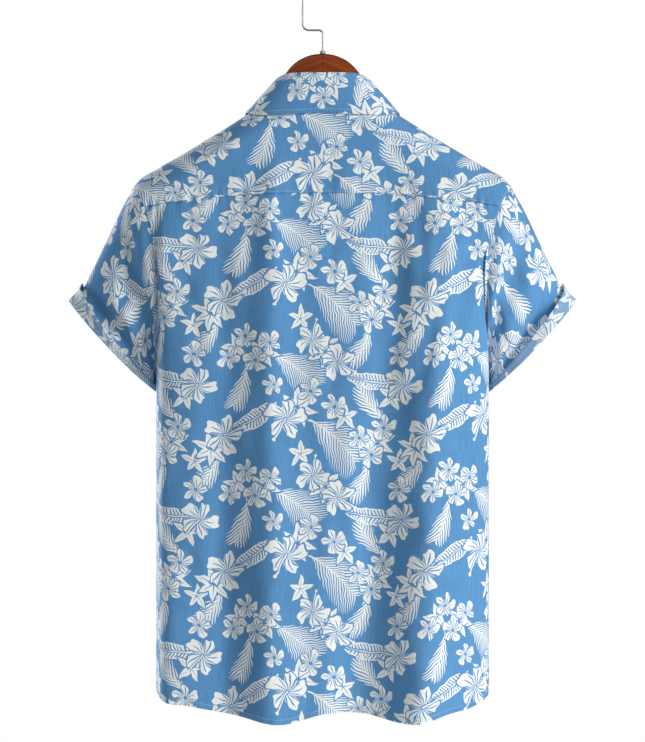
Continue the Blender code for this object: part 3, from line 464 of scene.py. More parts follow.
def trunk(x, z, side):
    """The middle of the cloth at x and z on the back (side 1) or the front (side -1)."""
    wide, high = depth_share(x, z)
    y = curve(DEPTH, z) * wide * np.sqrt(1 - high ** 2)
    return np.stack(np.broadcast_arrays(x, side * (y + folds(x, z, side)), z), -1)


def over(x, w):
    """The same surface at x and a distance along the cloth, positive to the back."""
    x, w = np.broadcast_arrays(np.asarray(x, float), np.asarray(w, float))
    z = ridge(x) - drop(w)
    return np.where(w[..., None] >= 0, trunk(x, z, 1), trunk(x, z, -1))


def outward(p, side):
    """Unit normal of the trunk's surface, from the slope of its formula."""
    def level(x, y, z):
        wide, high = depth_share(x, z)
        flat = side * y - folds(x, z, side)
        return (flat / curve(DEPTH, z)) ** 2 - wide ** 2 * (1 - high ** 2)
    step = 0.0002
    x, y, z = p[..., 0], p[..., 1], p[..., 2]
    slope = [level(x + step, y, z) - level(x - step, y, z), level(x, y + step, z) - level(x, y - step, z),
             level(x, y, z + step) - level(x, y, z - step)]
    return unit(np.stack(slope, -1))


def both_outward(p, w):
    """The trunk's normal at the back where w is positive and at the front where it isn't."""
    return np.where(w[..., None] >= 0, outward(p, 1), outward(p, -1))


def arc(grid, axis):
    """Length along one direction of a grid from its first point."""
    step = np.linalg.norm(np.diff(grid, axis=axis), axis=-1)
    return np.insert(np.cumsum(step, axis=axis), 0, 0.0, axis=axis)


def from_last(grid):
    """Length along each row of a grid to its last point."""
    far = arc(grid, 1)
    return far[:, -1:] - far


def corner_values(grid, rows, columns):
    """A grid's values at the four corners of each face: here, next row, both, next column."""
    return np.stack([grid[rows, columns], grid[rows + 1, columns], grid[rows + 1, columns + 1],
                     grid[rows, columns + 1]], 2)


def cloth_wall(name, middle, normal, high, low, spots, finishes, ring=False):
    """A closed wall of cloth: its outside and its inside lie at two heights over a grid of points.

    spots are the print's coordinates on the same grid. With ring, the last row repeats the first.
    The square map has the outside in its left half, the inside in its right and rims between."""
    count, wide = middle.shape[:2]
    points = [middle + normal * np.broadcast_to(height, (count, wide))[..., None] for height in (high, low)]
    spot = np.arange(count * wide).reshape(count, wide)
    if ring:
        spot[-1] = spot[0]
    far = spot + count * wide
    i, j = np.meshgrid(np.arange(count - 1), np.arange(wide - 1), indexing="ij")
    square = np.stack(np.meshgrid(np.linspace(0, 1, count), np.linspace(0, 1, wide), indexing="ij"), -1)
    quads = [corner_values(spot, i, j), corner_values(far, i, j)[:, :, ::-1]]
    where = [corner_values(spots, i, j), corner_values(spots, i, j)[:, :, ::-1]]
    sheet = [corner_values(square * (0.46, 0.94) + (0.01, 0.03), i, j),
             corner_values(square * (0.46, 0.94) + (0.53, 0.03), i, j)[:, :, ::-1]]
    rims = [(spot[:, 0], far[:, 0], spots[:, 0], False), (spot[:, -1], far[:, -1], spots[:, -1], True)]
    if not ring:
        rims += [(spot[0], far[0], spots[0], True), (spot[-1], far[-1], spots[-1], False)]
    for k, (near, back, mark, backwards) in enumerate(rims):
        along = np.linspace(0.01, 0.99, len(near))
        foot = np.stack([along, np.full(len(near), 0.002 + 0.005 * k)], -1)
        strip = np.stack([near[:-1], back[:-1], back[1:], near[1:]], -1)[None]
        print_at = np.stack([mark[:-1], mark[:-1], mark[1:], mark[1:]], 1)[None]
        flat = np.stack([foot[:-1], foot[:-1] + (0, 0.003), foot[1:] + (0, 0.003), foot[1:]], 1)[None]
        for pile, part in ((quads, strip), (where, print_at), (sheet, flat)):
            pile.append(part[:, :, ::-1] if backwards else part)
    sides = [q.shape[0] * q.shape[1] for q in quads]
    choice = np.repeat([0, 1] + [0] * len(rims), sides)
    points = np.concatenate([grid.reshape(-1, 3) for grid in points])
    quads = np.concatenate([q.reshape(-1, 4) for q in quads])
    where, sheet = (np.concatenate([v.reshape(-1, 4, 2) for v in pile]) for pile in (where, sheet))
    used, quads = np.unique(quads, return_inverse=True)
    return mesh_piece(name, points[used], quads.reshape(-1, 4), finishes, where, sheet, choice)


class Wire:
    """One value in a node group. A sum or product of Wires places the Math node that works it out."""

    def __init__(self, group, socket):
        self.group, self.socket = group, socket

    def made_of(self, kind, *values, clamp=False):
        """What a Math node of one kind makes of Wires and plain numbers."""
        inputs = {k: value.socket if isinstance(value, Wire) else value for k, value in enumerate(values)}
        node = add_node(self.group, "Math", inputs, operation=kind, use_clamp=clamp)
        return Wire(self.group, node.outputs[0])

    def math(self, kind, *others, clamp=False):
        """What a Math node makes of this value and others."""
        return self.made_of(kind, self, *others, clamp=clamp)

    def __add__(self, other):
        return self.math("ADD", other)

    def __sub__(self, other):
        return self.math("SUBTRACT", other)

    def __rsub__(self, other):
        return self.made_of("SUBTRACT", other, self)

    def __mul__(self, other):
        return self.math("MULTIPLY", other)

    def __truediv__(self, other):
        return self.math("DIVIDE", other)

    def __pow__(self, other):
        return self.math("POWER", other)

    def at_least(self, other):
        """The larger of this value and another."""
        return self.math("MAXIMUM", other)

    def at_most(self, other):
        """The smaller of this value and another."""
        return self.math("MINIMUM", other)

    def size(self):
        """The value without its sign."""
        return self.math("ABSOLUTE")


def vector_math(group, kind, *values):
    """One Vector Math node on sockets or plain triples; returns its vector, or its length."""
    node = add_node(group, "VectorMath", dict(enumerate(values)), operation=kind)
    return node.outputs["Value" if kind == "LENGTH" else "Vector"]


def inked(distance, soft):
    """1 inside, 0 outside, from a distance in motif radii that is positive inside; soft is the edge."""
    return (distance / soft).math("ADD", 0.5, clamp=True)


REPEAT = (0.250, 0.160)       # the print's repeat along the weft and the warp
HALO, SOFT = 0.09, 0.00030    # bare cloth round a flower, in its radii; softness of every edge, in metres


def nearest_motif(group, spot, chart):
    """Place in the nearest of a chart's motifs, in its own radii, with x along its own direction."""
    best = near = None
    for x, y, radius, angle in chart:
        low = (x - REPEAT[0] / 2, y - REPEAT[1] / 2, -1)
        high = (x + REPEAT[0] / 2, y + REPEAT[1] / 2, 1)
        tile = vector_math(group, "WRAP", spot, high, low)
        turn = add_node(group, "Mapping", {"Location": (x, y, 0), "Rotation": (0, 0, math.radians(angle)),
                                           "Scale": (radius, radius, 1), "Vector": tile},
                        vector_type="TEXTURE")
        here = turn.outputs[0]
        away = Wire(group, vector_math(group, "LENGTH", here))
        if best is None:
            best, near = here, away
            continue
        nearer = away.math("LESS_THAN", near)
        pick = add_node(group, "Mix", {"Factor": nearer.socket, 4: best, 5: here}, data_type="VECTOR")
        best, near = pick.outputs[1], near.at_most(away)
    parts = add_node(group, "SeparateXYZ", {0: best})
    return Wire(group, parts.outputs[0]), Wire(group, parts.outputs[1]), near


def laid_over(under, motif, reach):
    """Ink of a motif laid over what is there, which stays bare within the motif's reach."""
    return (under * (1.0 - reach)).at_least(motif)


def blossom(x, y, away, petals, full, ruffle, lobes, streaks, reach, throat, swirl, soft):
    """Ink and reach of a flower: petals whose edge lies at cos(turn) ** full of the radius, with
    ruffled tips, a bare eye and bare streaks that run out from it."""
    turn = y.math("ARCTAN2", x) * (petals / (2 * math.pi)) + (away * swirl + petals)
    which = turn.math("FLOOR")
    off = turn.math("FRACT") - 0.5
    lean = (which * 2.4).math("SINE")
    wave = (off * (2 * math.pi * lobes) + which * 1.7).math("SINE") * ruffle + (lean * 0.07 + 0.92)
    edge = (off * math.pi).math("COSINE").at_least(0.001) ** full * wave
    flame = ((off + lean * 0.04) * (2 * math.pi * streaks)).math("COSINE")
    bare = inked(flame - away / reach * 1.10 + 0.10 - lean * 0.12, 0.20)
    ink = inked(edge - away, soft) * inked(away - throat, soft) * (1.0 - bare)
    return ink, inked(edge + HALO - away, soft)


def pointed(x, y, away, petals, wide, vein, soft):
    """Ink and reach of a star of pointed leaves: each is widest at a third of its length, and a
    bare vein runs along its middle."""
    turn = y.math("ARCTAN2", x) * (petals / (2 * math.pi)) + petals
    which = turn.math("FLOOR")
    off = (turn.math("FRACT") - 0.5).size() * away * (2 * math.pi / petals)
    length = (which * 2.4).math("SINE") * 0.08 + 0.92
    share = (away / length).at_most(1.0)
    half = ((share ** 0.8) * math.pi).math("SINE") * wide
    bare = inked(share * -vein + vein * 0.85 - off, soft)
    leaf = inked(half - off, soft) * inked(length - away - 0.01, soft)
    return leaf * (1.0 - bare), inked(half + 0.08 - off, soft) * inked(length + 0.05 - away, soft)


def stamen(x, y, length, soft):
    """A thin filament from the centre along x with a knob; returns its ink and the gap round it."""
    along = x.at_least(0.0).at_most(length)
    rod = ((x - along) ** 2.0 + y ** 2.0) ** 0.5
    knob = ((x - length) ** 2.0 + y ** 2.0) ** 0.5
    return inked(0.032 - rod, soft).at_least(inked(0.075 - knob, soft)), inked(0.075 - rod, soft)


def off_midrib(x, y, bend):
    """How far a place lies from a leaf's midrib, which bends in a parabola; its sign gives the side."""
    return y - (x * x * 4.0 - 1.0) * bend


def swept(share, blunt, full):
    """A leaf's half width along it: a sine made blunt at the foot and full at the middle."""
    return ((share ** blunt) * math.pi).math("SINE").at_least(0.001) ** full


def midrib(x, off, half, foot, tip, soft):
    """Ink of a leaf's stalk and midrib, which narrow a little along x from the foot to the tip."""
    return inked(x * -0.012 + half - off, soft) * inked(x + foot, soft) * inked(tip - x, soft)


def feather(x, y, leaflets, slant, wide, bend, thin, soft):
    """A frond along x from -0.5 to 0.5: a bent midrib with slanted leaflets that taper to points,
    those on one side half a step before those on the other."""
    side = off_midrib(x, y, bend)
    off = side.size()
    base = x + 0.5 - off * slant
    inside = base.at_least(0.0).at_most(1.0)
    share = off / (swept(inside, 0.75, 0.55) * wide + 0.001)
    half = side.math("SIGN") * 0.25
    gap = ((base * leaflets + half).math("FRACT") - 0.5).size()
    blade = inked((1.0 - share).at_least(0.0) ** 0.5 * thin - gap, soft * leaflets * 0.8)
    blade = blade * inked(1.0 - share, soft / wide) * inked((1.0 - inside) * inside - 0.01, soft)
    return blade.at_least(midrib(x, off, 0.008, 0.58, 0.49, soft))


def banana(x, y, ribs, slant, wide, bend, soft):
    """A broad leaf along x from -0.5 to 0.5: slanted ribs inside a solid margin, midrib left bare."""
    off = off_midrib(x, y, bend).size()
    inside = (x + 0.5).at_least(0.0).at_most(1.0)
    edge = swept(inside, 0.8, 0.6) * wide - off
    rib = (((x + 0.5 - off * slant) * ribs).math("FRACT") - 0.5).size()
    blade = inked(0.30 - rib, soft * ribs * 0.8).at_least(inked(0.022 - edge, soft))
    leaf = blade * inked(edge, soft) * (1.0 - inked(0.030 - off, soft))
    return leaf.at_least(midrib(x, off, 0.010, 0.60, 0.46, soft))


# each chart: place across and up the repeat, radius or length, direction in degrees
BIG_FLOWERS = [(0.044, 0.107, 0.0262, -62), (0.121, 0.086, 0.0255, 160), (0.152, 0.146, 0.0240, -44),
               (0.012, 0.040, 0.0212, 100), (0.232, 0.014, 0.0218, 210)]
SMALL_FLOWERS = [(0.014, 0.139, 0.0162, 20), (0.176, 0.096, 0.0172, 70), (0.206, 0.084, 0.0150, 10),
                 (0.191, 0.064, 0.0170, 200), (0.063, 0.036, 0.0155, 30), (0.094, 0.044, 0.0160, 80),
                 (0.082, 0.015, 0.0168, 140), (0.236, 0.122, 0.0165, 50), (0.115, 0.017, 0.0150, 90),
                 (0.156, 0.022, 0.0168, 10), (0.060, 0.146, 0.0140, 60)]
# whorls of leaves lie half under the flowers
STARS = [(0.030, 0.120, 0.0265, 15), (0.136, 0.071, 0.0250, 48), (0.072, 0.026, 0.0240, 10),
         (0.184, 0.078, 0.0245, 30), (0.246, 0.026, 0.0235, 0)]
SPRIGS = [(0.157, 0.056, 0.0175, 130), (0.224, 0.110, 0.0200, -20), (0.026, 0.066, 0.0180, 200),
          (0.166, 0.132, 0.0215, 70), (0.106, 0.030, 0.0200, 40)]
PALMS = [(0.236, 0.080, 0.0700, 222), (0.032, 0.004, 0.0620, 214)]
FRONDS = [(0.141, 0.044, 0.0480, -55), (0.205, 0.034, 0.0500, -62), (0.190, 0.124, 0.0500, 52),
          (0.101, 0.144, 0.0520, -72)]
BANANAS = [(0.087, 0.106, 0.0620, -30), (0.194, 0.154, 0.0600, 8)]
HAND = (80.0, 0.0055)         # how often to a metre a hand-cut edge wanders, and by how much
# warp threads, weft threads, faded patches: how often to a metre each way, detail, shade, height
THREADS = [((1300.0, 40.0, 1.0), 3.0, 0.55, 0.7), ((60.0, 1700.0, 1.0), 2.0, 0.16, 0.5),
           ((9.0, 5.0, 1.0), 2.0, 0.16, 0.0)]


def cloth_group(name, *outputs):
    """An empty node group with its outputs, and the socket of the place on the cloth it is given."""
    group = bpy.data.node_groups.new(name, "ShaderNodeTree")
    group.interface.new_socket("Spot", in_out="INPUT", socket_type="NodeSocketVector")
    for output in outputs:
        group.interface.new_socket(output, in_out="OUTPUT", socket_type="NodeSocketFloat")
    return group, group.nodes.new("NodeGroupInput").outputs[0]


def print_group():
    """The printed pattern: leaves first, then each kind of flower with bare cloth left round it."""
    group, spot = cloth_group("aloha print", "Ink")
    hand = add_node(group, "TexNoise", {"Vector": spot, "Scale": HAND[0], "Detail": 1.0})
    wander = vector_math(group, "SUBTRACT", hand.outputs["Color"], (0.5, 0.5, 0.5))
    wander = vector_math(group, "MULTIPLY", wander, (HAND[1], HAND[1], 0.0))
    spot = vector_math(group, "MULTIPLY", vector_math(group, "ADD", spot, wander), (1.0, 1.0, 0.0))

    x, y, _ = nearest_motif(group, spot, PALMS)
    ink = feather(x, y, leaflets=16, slant=1.15, wide=0.40, bend=0.05, thin=0.33, soft=SOFT / 0.060)
    x, y, _ = nearest_motif(group, spot, FRONDS)
    frond = feather(x, y, leaflets=8, slant=1.7, wide=0.27, bend=0.07, thin=0.40, soft=SOFT / 0.044)
    x, y, _ = nearest_motif(group, spot, BANANAS)
    broad = banana(x, y, ribs=15, slant=0.5, wide=0.165, bend=0.05, soft=SOFT / 0.056)
    ink = ink.at_least(frond).at_least(broad)
    for chart, leaves, wide, vein in ((SPRIGS, 5, 0.19, 0.03), (STARS, 7, 0.18, 0.040)):
        place = nearest_motif(group, spot, chart)
        ink = laid_over(ink, *pointed(*place, leaves, wide, vein, SOFT / chart[0][2]))
    for chart, full, ruffle, lobes, reach, throat, swirl in (
            (SMALL_FLOWERS, 0.42, 0.060, 1.5, 0.82, 0.13, 0.24),
            (BIG_FLOWERS, 0.38, 0.065, 2.3, 0.80, 0.08, 0.34)):
        x, y, away = nearest_motif(group, spot, chart)
        ink = laid_over(ink, *blossom(x, y, away, 5, full, ruffle, lobes, 3, reach, throat, swirl,
                                      SOFT / chart[0][2]))
    ink = laid_over(ink, *stamen(x, y, 1.12, SOFT / BIG_FLOWERS[0][2]))
    feed(group.nodes.new("NodeGroupOutput"), {0: ink.socket})
    return group


def weave_group():
    """Plain weave: threads of uneven thickness along the cloth, as a shade and a height."""
    group, spot = cloth_group("slub weave", "Shade", "Height")
    shade = height = None
    for often, detail, dark, high in THREADS:
        place = vector_math(group, "MULTIPLY", spot, often)
        threads = add_node(group, "TexNoise", {"Vector": place, "Scale": 1.0, "Detail": detail},
                           noise_dimensions="2D")
        layer = Wire(group, threads.outputs["Fac"])
        tone, rise = (layer - 0.5) * dark, layer * high
        shade, height = (tone, rise) if shade is None else (shade + tone, height + rise)
    feed(group.nodes.new("NodeGroupOutput"), {0: (shade + 1.0).socket, 1: height.socket})
    return group


BLUE, WHITE = (0.101, 0.292, 0.565), (0.87, 0.905, 0.89)
PALE_BLUE, PALE_WHITE = (0.20, 0.36, 0.56), (0.80, 0.85, 0.85)
printed, weave = print_group(), weave_group()


def cotton(name, ground, ink):
    """Printed cotton: two dyes laid by the print's mask, shaded and raised by the weave."""
    made, shader = blank_finish(name, {"Roughness": 0.88, "Specular IOR Level": 0.25, "Sheen Weight": 0.12,
                                       "Sheen Roughness": 0.5})
    tree = made.node_tree
    place = add_node(tree, "UVMap", uv_map="cloth").outputs[0]
    drawn = add_node(tree, "Group", {0: place}, node_tree=printed)
    threads = add_node(tree, "Group", {0: place}, node_tree=weave)
    dyes = add_node(tree, "Mix", {0: drawn.outputs["Ink"], 6: (*ground, 1), 7: (*ink, 1)}, data_type="RGBA")
    shaded = add_node(tree, "VectorMath", {0: dyes.outputs[2], "Scale": threads.outputs["Shade"]},
                      operation="SCALE")
    feed(shader, {"Base Color": shaded.outputs[0],
                  "Normal": relief(tree, threads.outputs["Height"], 0.35, 0.00025)})
    return made


face = cotton("printed cotton", BLUE, WHITE)
reverse = cotton("cotton reverse", PALE_BLUE, PALE_WHITE)
two_sides = [face, reverse]


def hang(piece, node):
    """A sheet of the cloth: it moves with the shirt and takes the place of its solid."""
    stands_for(piece, node)


# ---------------------------------------------------------------------------------------------
# The yoke: one piece of cloth over both shoulders, from the seam across the back to a short seam on
# each front. Its edges are folded under and lap over the panels that hang from them, topstitched.
NECK_HALF, NECK_BACK, NECK_FRONT, NECK_POWER = 0.074, 0.0515, 0.121, 1.3
SHOULDER_ANGLE, SHOULDER_SLOPE = 22, math.radians(26.5)
YOKE_PRINT = (0.031, 0.052)                # where the print's repeat starts on it
YOKE_TOP = CLOTH / 2 + 0.0002              # height of its face over the trunk's surface
# the armhole's edge from the front yoke seam to the underarm, and where the back yoke seam meets it
EDGE_W = np.linspace(FRONT_YOKE, UNDERARM, 400)
EDGE_X = curve(ARMHOLE, EDGE_W)
EDGE_Z = ridge(EDGE_X) - drop(EDGE_W)
CORNER = float(np.interp(0, (curve(YOKE_SEAM, EDGE_X) - EDGE_Z)[:200], EDGE_W[:200]))


def between(count):
    """Shares from 0 to 1, closer together at both ends."""
    return (1 - np.cos(np.linspace(0, np.pi, count))) / 2


def neck(angle):
    """Neck seam as x and distance along the cloth: 0 is the side of the neck, 90 the back."""
    turn = np.radians(angle)
    reach = np.abs(np.sin(turn)) ** NECK_POWER
    return NECK_HALF * np.cos(turn), np.where(np.sin(turn) > 0, NECK_BACK, -NECK_FRONT) * reach


FRONT_ANGLE = -math.degrees(math.asin((FRONT_YOKE / NECK_FRONT) ** (1 / NECK_POWER)))


def back_seam(x):
    """Distance along the cloth from the shoulder line to the yoke's back seam."""
    return SHOULDER_GIRTH + ridge(x) - curve(YOKE_SEAM, np.abs(x)) - SHOULDER_DROP


def yoke_grid():
    """x and distance along the cloth over the yoke: straight lines from the neck to its outer edge."""
    run = np.linspace(0, 1, 44)
    arm_w = np.interp(run, (0, 3 / 8, 1), (-FRONT_YOKE, 0, CORNER))
    seam_x = (curve(ARMHOLE, CORNER) * np.cos(np.linspace(0, np.pi / 2, 91)))[1:]
    outer_x = np.concatenate([curve(ARMHOLE, np.abs(arm_w)), seam_x])
    outer_w = np.concatenate([arm_w, back_seam(seam_x)])
    angles = np.concatenate([np.linspace(FRONT_ANGLE, SHOULDER_ANGLE, len(run)),
                             np.linspace(SHOULDER_ANGLE, 90, 91)[1:]])
    inner_x, inner_w = neck(angles)
    share = between(46)
    x = inner_x[:, None] + np.outer(outer_x - inner_x, share)
    w = inner_w[:, None] + np.outer(outer_w - inner_w, share)
    return np.concatenate([x, -x[-2::-1]]), np.concatenate([w, w[-2::-1]])


x, w = yoke_grid()
middle = over(x, w)
normal = both_outward(middle, w)
# the strip in front of the shoulder line unfolds about that slanting line
front = np.maximum(-w, 0)
spots = np.stack([x + np.sign(x) * front * math.sin(2 * SHOULDER_SLOPE),
                  ridge(x) - np.maximum(w, 0) + front * math.cos(2 * SHOULDER_SLOPE)], -1)
hang(cloth_wall("yoke_cloth", middle, normal, YOKE_TOP, -CLOTH / 2, spots + YOKE_PRINT, two_sides),
     "yoke")

# ---------------------------------------------------------------------------------------------
# The back: one panel from the yoke seam to a curved shirt-tail hem, side seam to side seam. Its top
# edge is caught under the yoke, and its hem is turned twice and stitched.
TUCK, TUCK_DOWN, TUCK_SLOPE = 0.004, 0.00028, 0.005    # caught length, its gap below, length of its step
HEM_DEEP, HEM_TURN, HEM_SLOPE = 0.0065, 0.0009, 0.0012    # depth, height and length of the hem's step
HEM_ROUND = 0.0003                         # by how much the hem's edge is rounded


def edge_width(z):
    """Half width of a panel at a height: the armhole above the underarm, the side seam below."""
    return np.where(z > EDGE_Z[-1], np.interp(-z, -EDGE_Z, EDGE_X), curve(WIDTH, z))


def panel(top_x, top_z, side, arm, hem):
    """Middle points and normals of a back or front: columns from its top edge to the hem, rows that
    follow the armhole's heights first and then slide into the curve of the hem."""
    arm_x = curve(ARMHOLE, arm)
    arm_z = ridge(arm_x) - drop(arm)
    foot_z = curve(hem, np.sign(top_x[-1]) * HALF_BODY)
    rows = np.linspace(0, 1, 131)[1:]
    rows = 0.6 * rows + 0.4 * np.sin(rows * np.pi / 2)
    edge = np.concatenate([arm_z, arm_z[-1] + (foot_z - arm_z[-1]) * rows])
    share = top_x / edge_width(top_z)
    share = share / np.abs(share).max()
    from_top = ease((edge - arm_z[-1]) / (edge[0] - arm_z[-1]))
    from_foot = ease((arm_z[-1] - edge) / (arm_z[-1] - foot_z)) ** 2
    foot = curve(hem, share * HALF_BODY)
    z = edge[None, :] + np.outer(top_z - edge[0], from_top) + np.outer(foot - foot_z, from_foot)
    x = share[:, None] * (edge_width(z) - 0.0001 * (z > arm_z[-1]))
    middle = trunk(x, z, side)
    at_side = (np.abs(share) > 0.9999)[:, None] & (z <= arm_z[-1] + 0.0001)
    middle[..., 1] = np.where(at_side, side * 0.0001, middle[..., 1])
    return middle, outward(middle, side)


def tucked(middle, seam_z):
    """How far a panel lies below the yoke's surface near the seam, where the yoke laps over it."""
    return -(CLOTH + TUCK_DOWN) * (1 - ease((seam_z - middle[..., 2]) / TUCK_SLOPE))


def hem_wall(name, middle, normal, lift, spots):
    """A panel's wall, twice as thick within the turned hem, whose step is on the inside."""
    from_hem = from_last(middle)
    second = HEM_TURN * (1 - ease((from_hem - HEM_DEEP) / HEM_SLOPE))
    rounded = HEM_ROUND * (1 - ease(from_hem / HEM_SLOPE))
    return cloth_wall(name, middle, normal, lift + CLOTH / 2 - rounded, lift - CLOTH / 2 - second + rounded,
                      spots, two_sides)


def hanging_spots(middle, start):
    """The print's coordinates on a hanging panel: lengths across from column start and down."""
    along = arc(middle, 0)
    return np.stack([along - along[start] + middle[start, :, 0], middle[:, :1, 2] - arc(middle, 1)], -1)


arm = CORNER + (UNDERARM - CORNER) * between(64)
half = curve(ARMHOLE, CORNER) * np.cos(np.linspace(0, np.pi / 2, 86))
top_x = np.concatenate([-half, half[-2::-1]])
seam_z = curve(YOKE_SEAM, np.abs(top_x))
back, back_normal = panel(top_x, seam_z + TUCK, 1, arm, BACK_HEM)
hang(hem_wall("back_cloth", back, back_normal, tucked(back, seam_z[:, None]),
              hanging_spots(back, len(half) - 1)), "back_panel")

# ---------------------------------------------------------------------------------------------
# The fronts: two panels buttoned at the middle, from the neck and the yoke's front seams to the
# hem. The left one laps over the right one and its edge carries the buttonhole band.
FRONT_PRINT = (0.117, 0.043)
LAP, LAP_CLEAR, LAP_EASE = 0.015, 0.045, 0.025    # half of the lap; where it ends, and over what length
OVER_LAP = 0.0023                          # how far the left front stands out where it laps over


def lap_over(x):
    """How far a left-hand piece stands out at x to lie over its right-hand neighbour, 0 to 1."""
    return ease((LAP_CLEAR - x) / LAP_EASE)


LAP_X = np.linspace(-LAP, LAP, 17)
NECK_ANGLES = -np.degrees(np.arccos(LAP_X / NECK_HALF))
NECK_ANGLES = np.concatenate([NECK_ANGLES[:-1], np.linspace(NECK_ANGLES[-1], FRONT_ANGLE, 26)])


def front_grid(sign):
    """A front's middle points, their normals and how far each lies below the yoke, in columns from
    its lapped edge outwards."""
    neck_x, neck_w = neck(NECK_ANGLES)
    seam_x = neck_x[-1] + (curve(ARMHOLE, FRONT_YOKE) - neck_x[-1]) * between(56)[1:]
    top_x = np.concatenate([neck_x, seam_x])
    top_w = np.concatenate([neck_w, np.full(len(seam_x), -FRONT_YOKE)])
    seam = ridge(top_x) - drop(top_w)
    tuck = TUCK * ease((top_x - neck_x[-1]) / 0.006)
    fall = FRONT_YOKE + (UNDERARM - FRONT_YOKE) * between(64)
    middle, normal = panel(sign * top_x, seam + tuck, -1, fall, FRONT_HEM)
    return middle, normal, tucked(middle, seam[:, None]) * (tuck / TUCK)[:, None]


fronts = {}
for side_name, sign in (("right", -1), ("left", 1)):
    middle, normal, lift = front_grid(sign)
    if sign > 0:
        lift = lift + OVER_LAP * lap_over(middle[..., 0])
    spots = hanging_spots(middle, 0) + np.array(FRONT_PRINT) * (sign, 1)
    hang(hem_wall(f"front_{side_name}_cloth", middle, normal, lift, spots), f"front_{side_name}")
    fronts[sign] = (middle, normal, lift)

# ---------------------------------------------------------------------------------------------
# The buttonhole band: a folded strip of the same cloth down the edge of the left front, from the
# neck seam to the hem, stitched along both edges.
BAND_PRINT = (0.0, 0.061)
BAND_LOW, BAND_HIGH = OVER_LAP + CLOTH / 2, 0.0045     # heights of its inside and its outside
BAND_ROUND = (0.0005, 0.0007)              # height and width of its rounded edges
band, band_normal = middle[:len(LAP_X)], normal[:len(LAP_X)]
rounded = BAND_ROUND[0] * np.exp(-((LAP - np.abs(band[..., 0])) / BAND_ROUND[1]) ** 2)
hang(cloth_wall("buttonhole_band", band, band_normal, BAND_HIGH - rounded, BAND_LOW,
                spots[:len(LAP_X)] + BAND_PRINT, two_sides), "placket")

# ---------------------------------------------------------------------------------------------
# The collar stand: a band of two plies that rises from the neck seam all round and buttons at the
# front, where its left end laps over its right end. The leaf is sewn to its top.
STAND_PRINT = (0.017, 0.071)
STAND_HALF = CLOTH * 0.6                   # half of its thickness
PLY = 0.0015                               # from the middle of one layer to the middle of the next
GAP = 0.0003                               # between neighbours
# the fold of the collar: angle from the front (-90) over the side (0) to the back (90), then x, y, z
COLLAR_FOLD = [(-101.7, -0.015, -0.0560, -0.2035), (-90, 0.0, -0.0568, -0.2045),
               (-78.3, 0.015, -0.0560, -0.2035), (-60, 0.0340, -0.0490, -0.1850),
               (-30, 0.0530, -0.0300, -0.1570), (0, 0.0572, -0.0030, -0.1350), (20, 0.0515, 0.0180, -0.1265),
               (35, 0.0435, 0.0285, -0.1237), (60, 0.0270, 0.0345, -0.1225), (90, 0.0000, 0.0360, -0.1225),
               (120, -0.0270, 0.0345, -0.1225)]
COLLAR_ANGLES = np.concatenate([NECK_ANGLES, np.linspace(FRONT_ANGLE, 90, 90)[1:]])


def stand_line(angle, lapped):
    """Foot and top of the collar stand's middle at angles of the neck seam."""
    foot = over(*neck(angle))
    top = np.stack([curve(COLLAR_FOLD, angle, k) for k in (1, 2, 3)], -1)
    if lapped:
        shift = np.stack([0 * angle, -(PLY + 3 * GAP) * lap_over(foot[:, 0]) * (angle < 0), 0 * angle], -1)
        foot, top = foot + shift, top + shift
    return foot, top


def grid_normal(grid, ring=False):
    """Unit normal of a grid from the chords of its own points; on a ring the last row is the first."""
    along = np.gradient(grid, axis=0)
    if ring:
        along[0] = along[-1] = (grid[1] - grid[-2]) / 2
    return unit(np.cross(along, np.gradient(grid, axis=1)))


def around_spots(grid, start):
    """The print's coordinates on a band: lengths along it from row start, and across it."""
    along = arc(grid, 0).mean(1)
    rise = arc(grid, 1)
    return np.stack([np.broadcast_to((along - along[start])[:, None], rise.shape), rise], -1)


halves = []
for lapped in (True, False):
    foot, top = stand_line(COLLAR_ANGLES, lapped)
    rise = unit(top - foot)
    foot, top = foot + rise * (CLOTH / 2 + GAP), top + rise * GAP
    steps = np.linspace(0, 1, 12)
    halves.append(foot[:, None] + (top - foot)[:, None] * steps[None, :, None])
stand_grid = np.concatenate([halves[0], (halves[1] * (-1, 1, 1))[-2::-1]])
stand_normal = grid_normal(stand_grid)
spots = around_spots(stand_grid, len(COLLAR_ANGLES) - 1) + STAND_PRINT
hang(cloth_wall("stand_cloth", stand_grid, stand_normal, STAND_HALF, -STAND_HALF, spots, [face, face]),
     "collar_stand")

# ---------------------------------------------------------------------------------------------
# The collar leaf: two plies and an interlining, folded over the top of the stand and down on to the
# yoke and the fronts, with a point on each front. Its edge is turned in and topstitched.
LEAF_PRINT = (0.093, 0.012)
LEAF_FRONT = -84                           # angle at which it starts at the front
LEAF_LIFT, LEAF_BULGE, LEAF_ROLL = 0.0026, 0.0016, 0.0016    # off the cloth below, bow, radius of the fold
LEAF_HALF = 0.0006                         # half of its thickness
LEAF_SEAM, LEAF_RIDGE = 0.0055, 0.00022    # depth of the turned-in edge, and how much thicker it is
LEAF_ROUND, LEAF_SLOPE = 0.0004, 0.0012    # by how much its edge is rounded, and over what length
# its lower edge on the trunk: angle, x, distance along the cloth from the shoulder line
COLLAR_EDGE = [(-84, 0.0600, -0.137), (-55, 0.0775, -0.096), (-25, 0.0890, -0.047), (0, 0.0910, -0.003),
               (35, 0.0720, 0.0360), (60, 0.0400, 0.0520), (90, 0.0000, 0.0570), (120, -0.0400, 0.0520)]


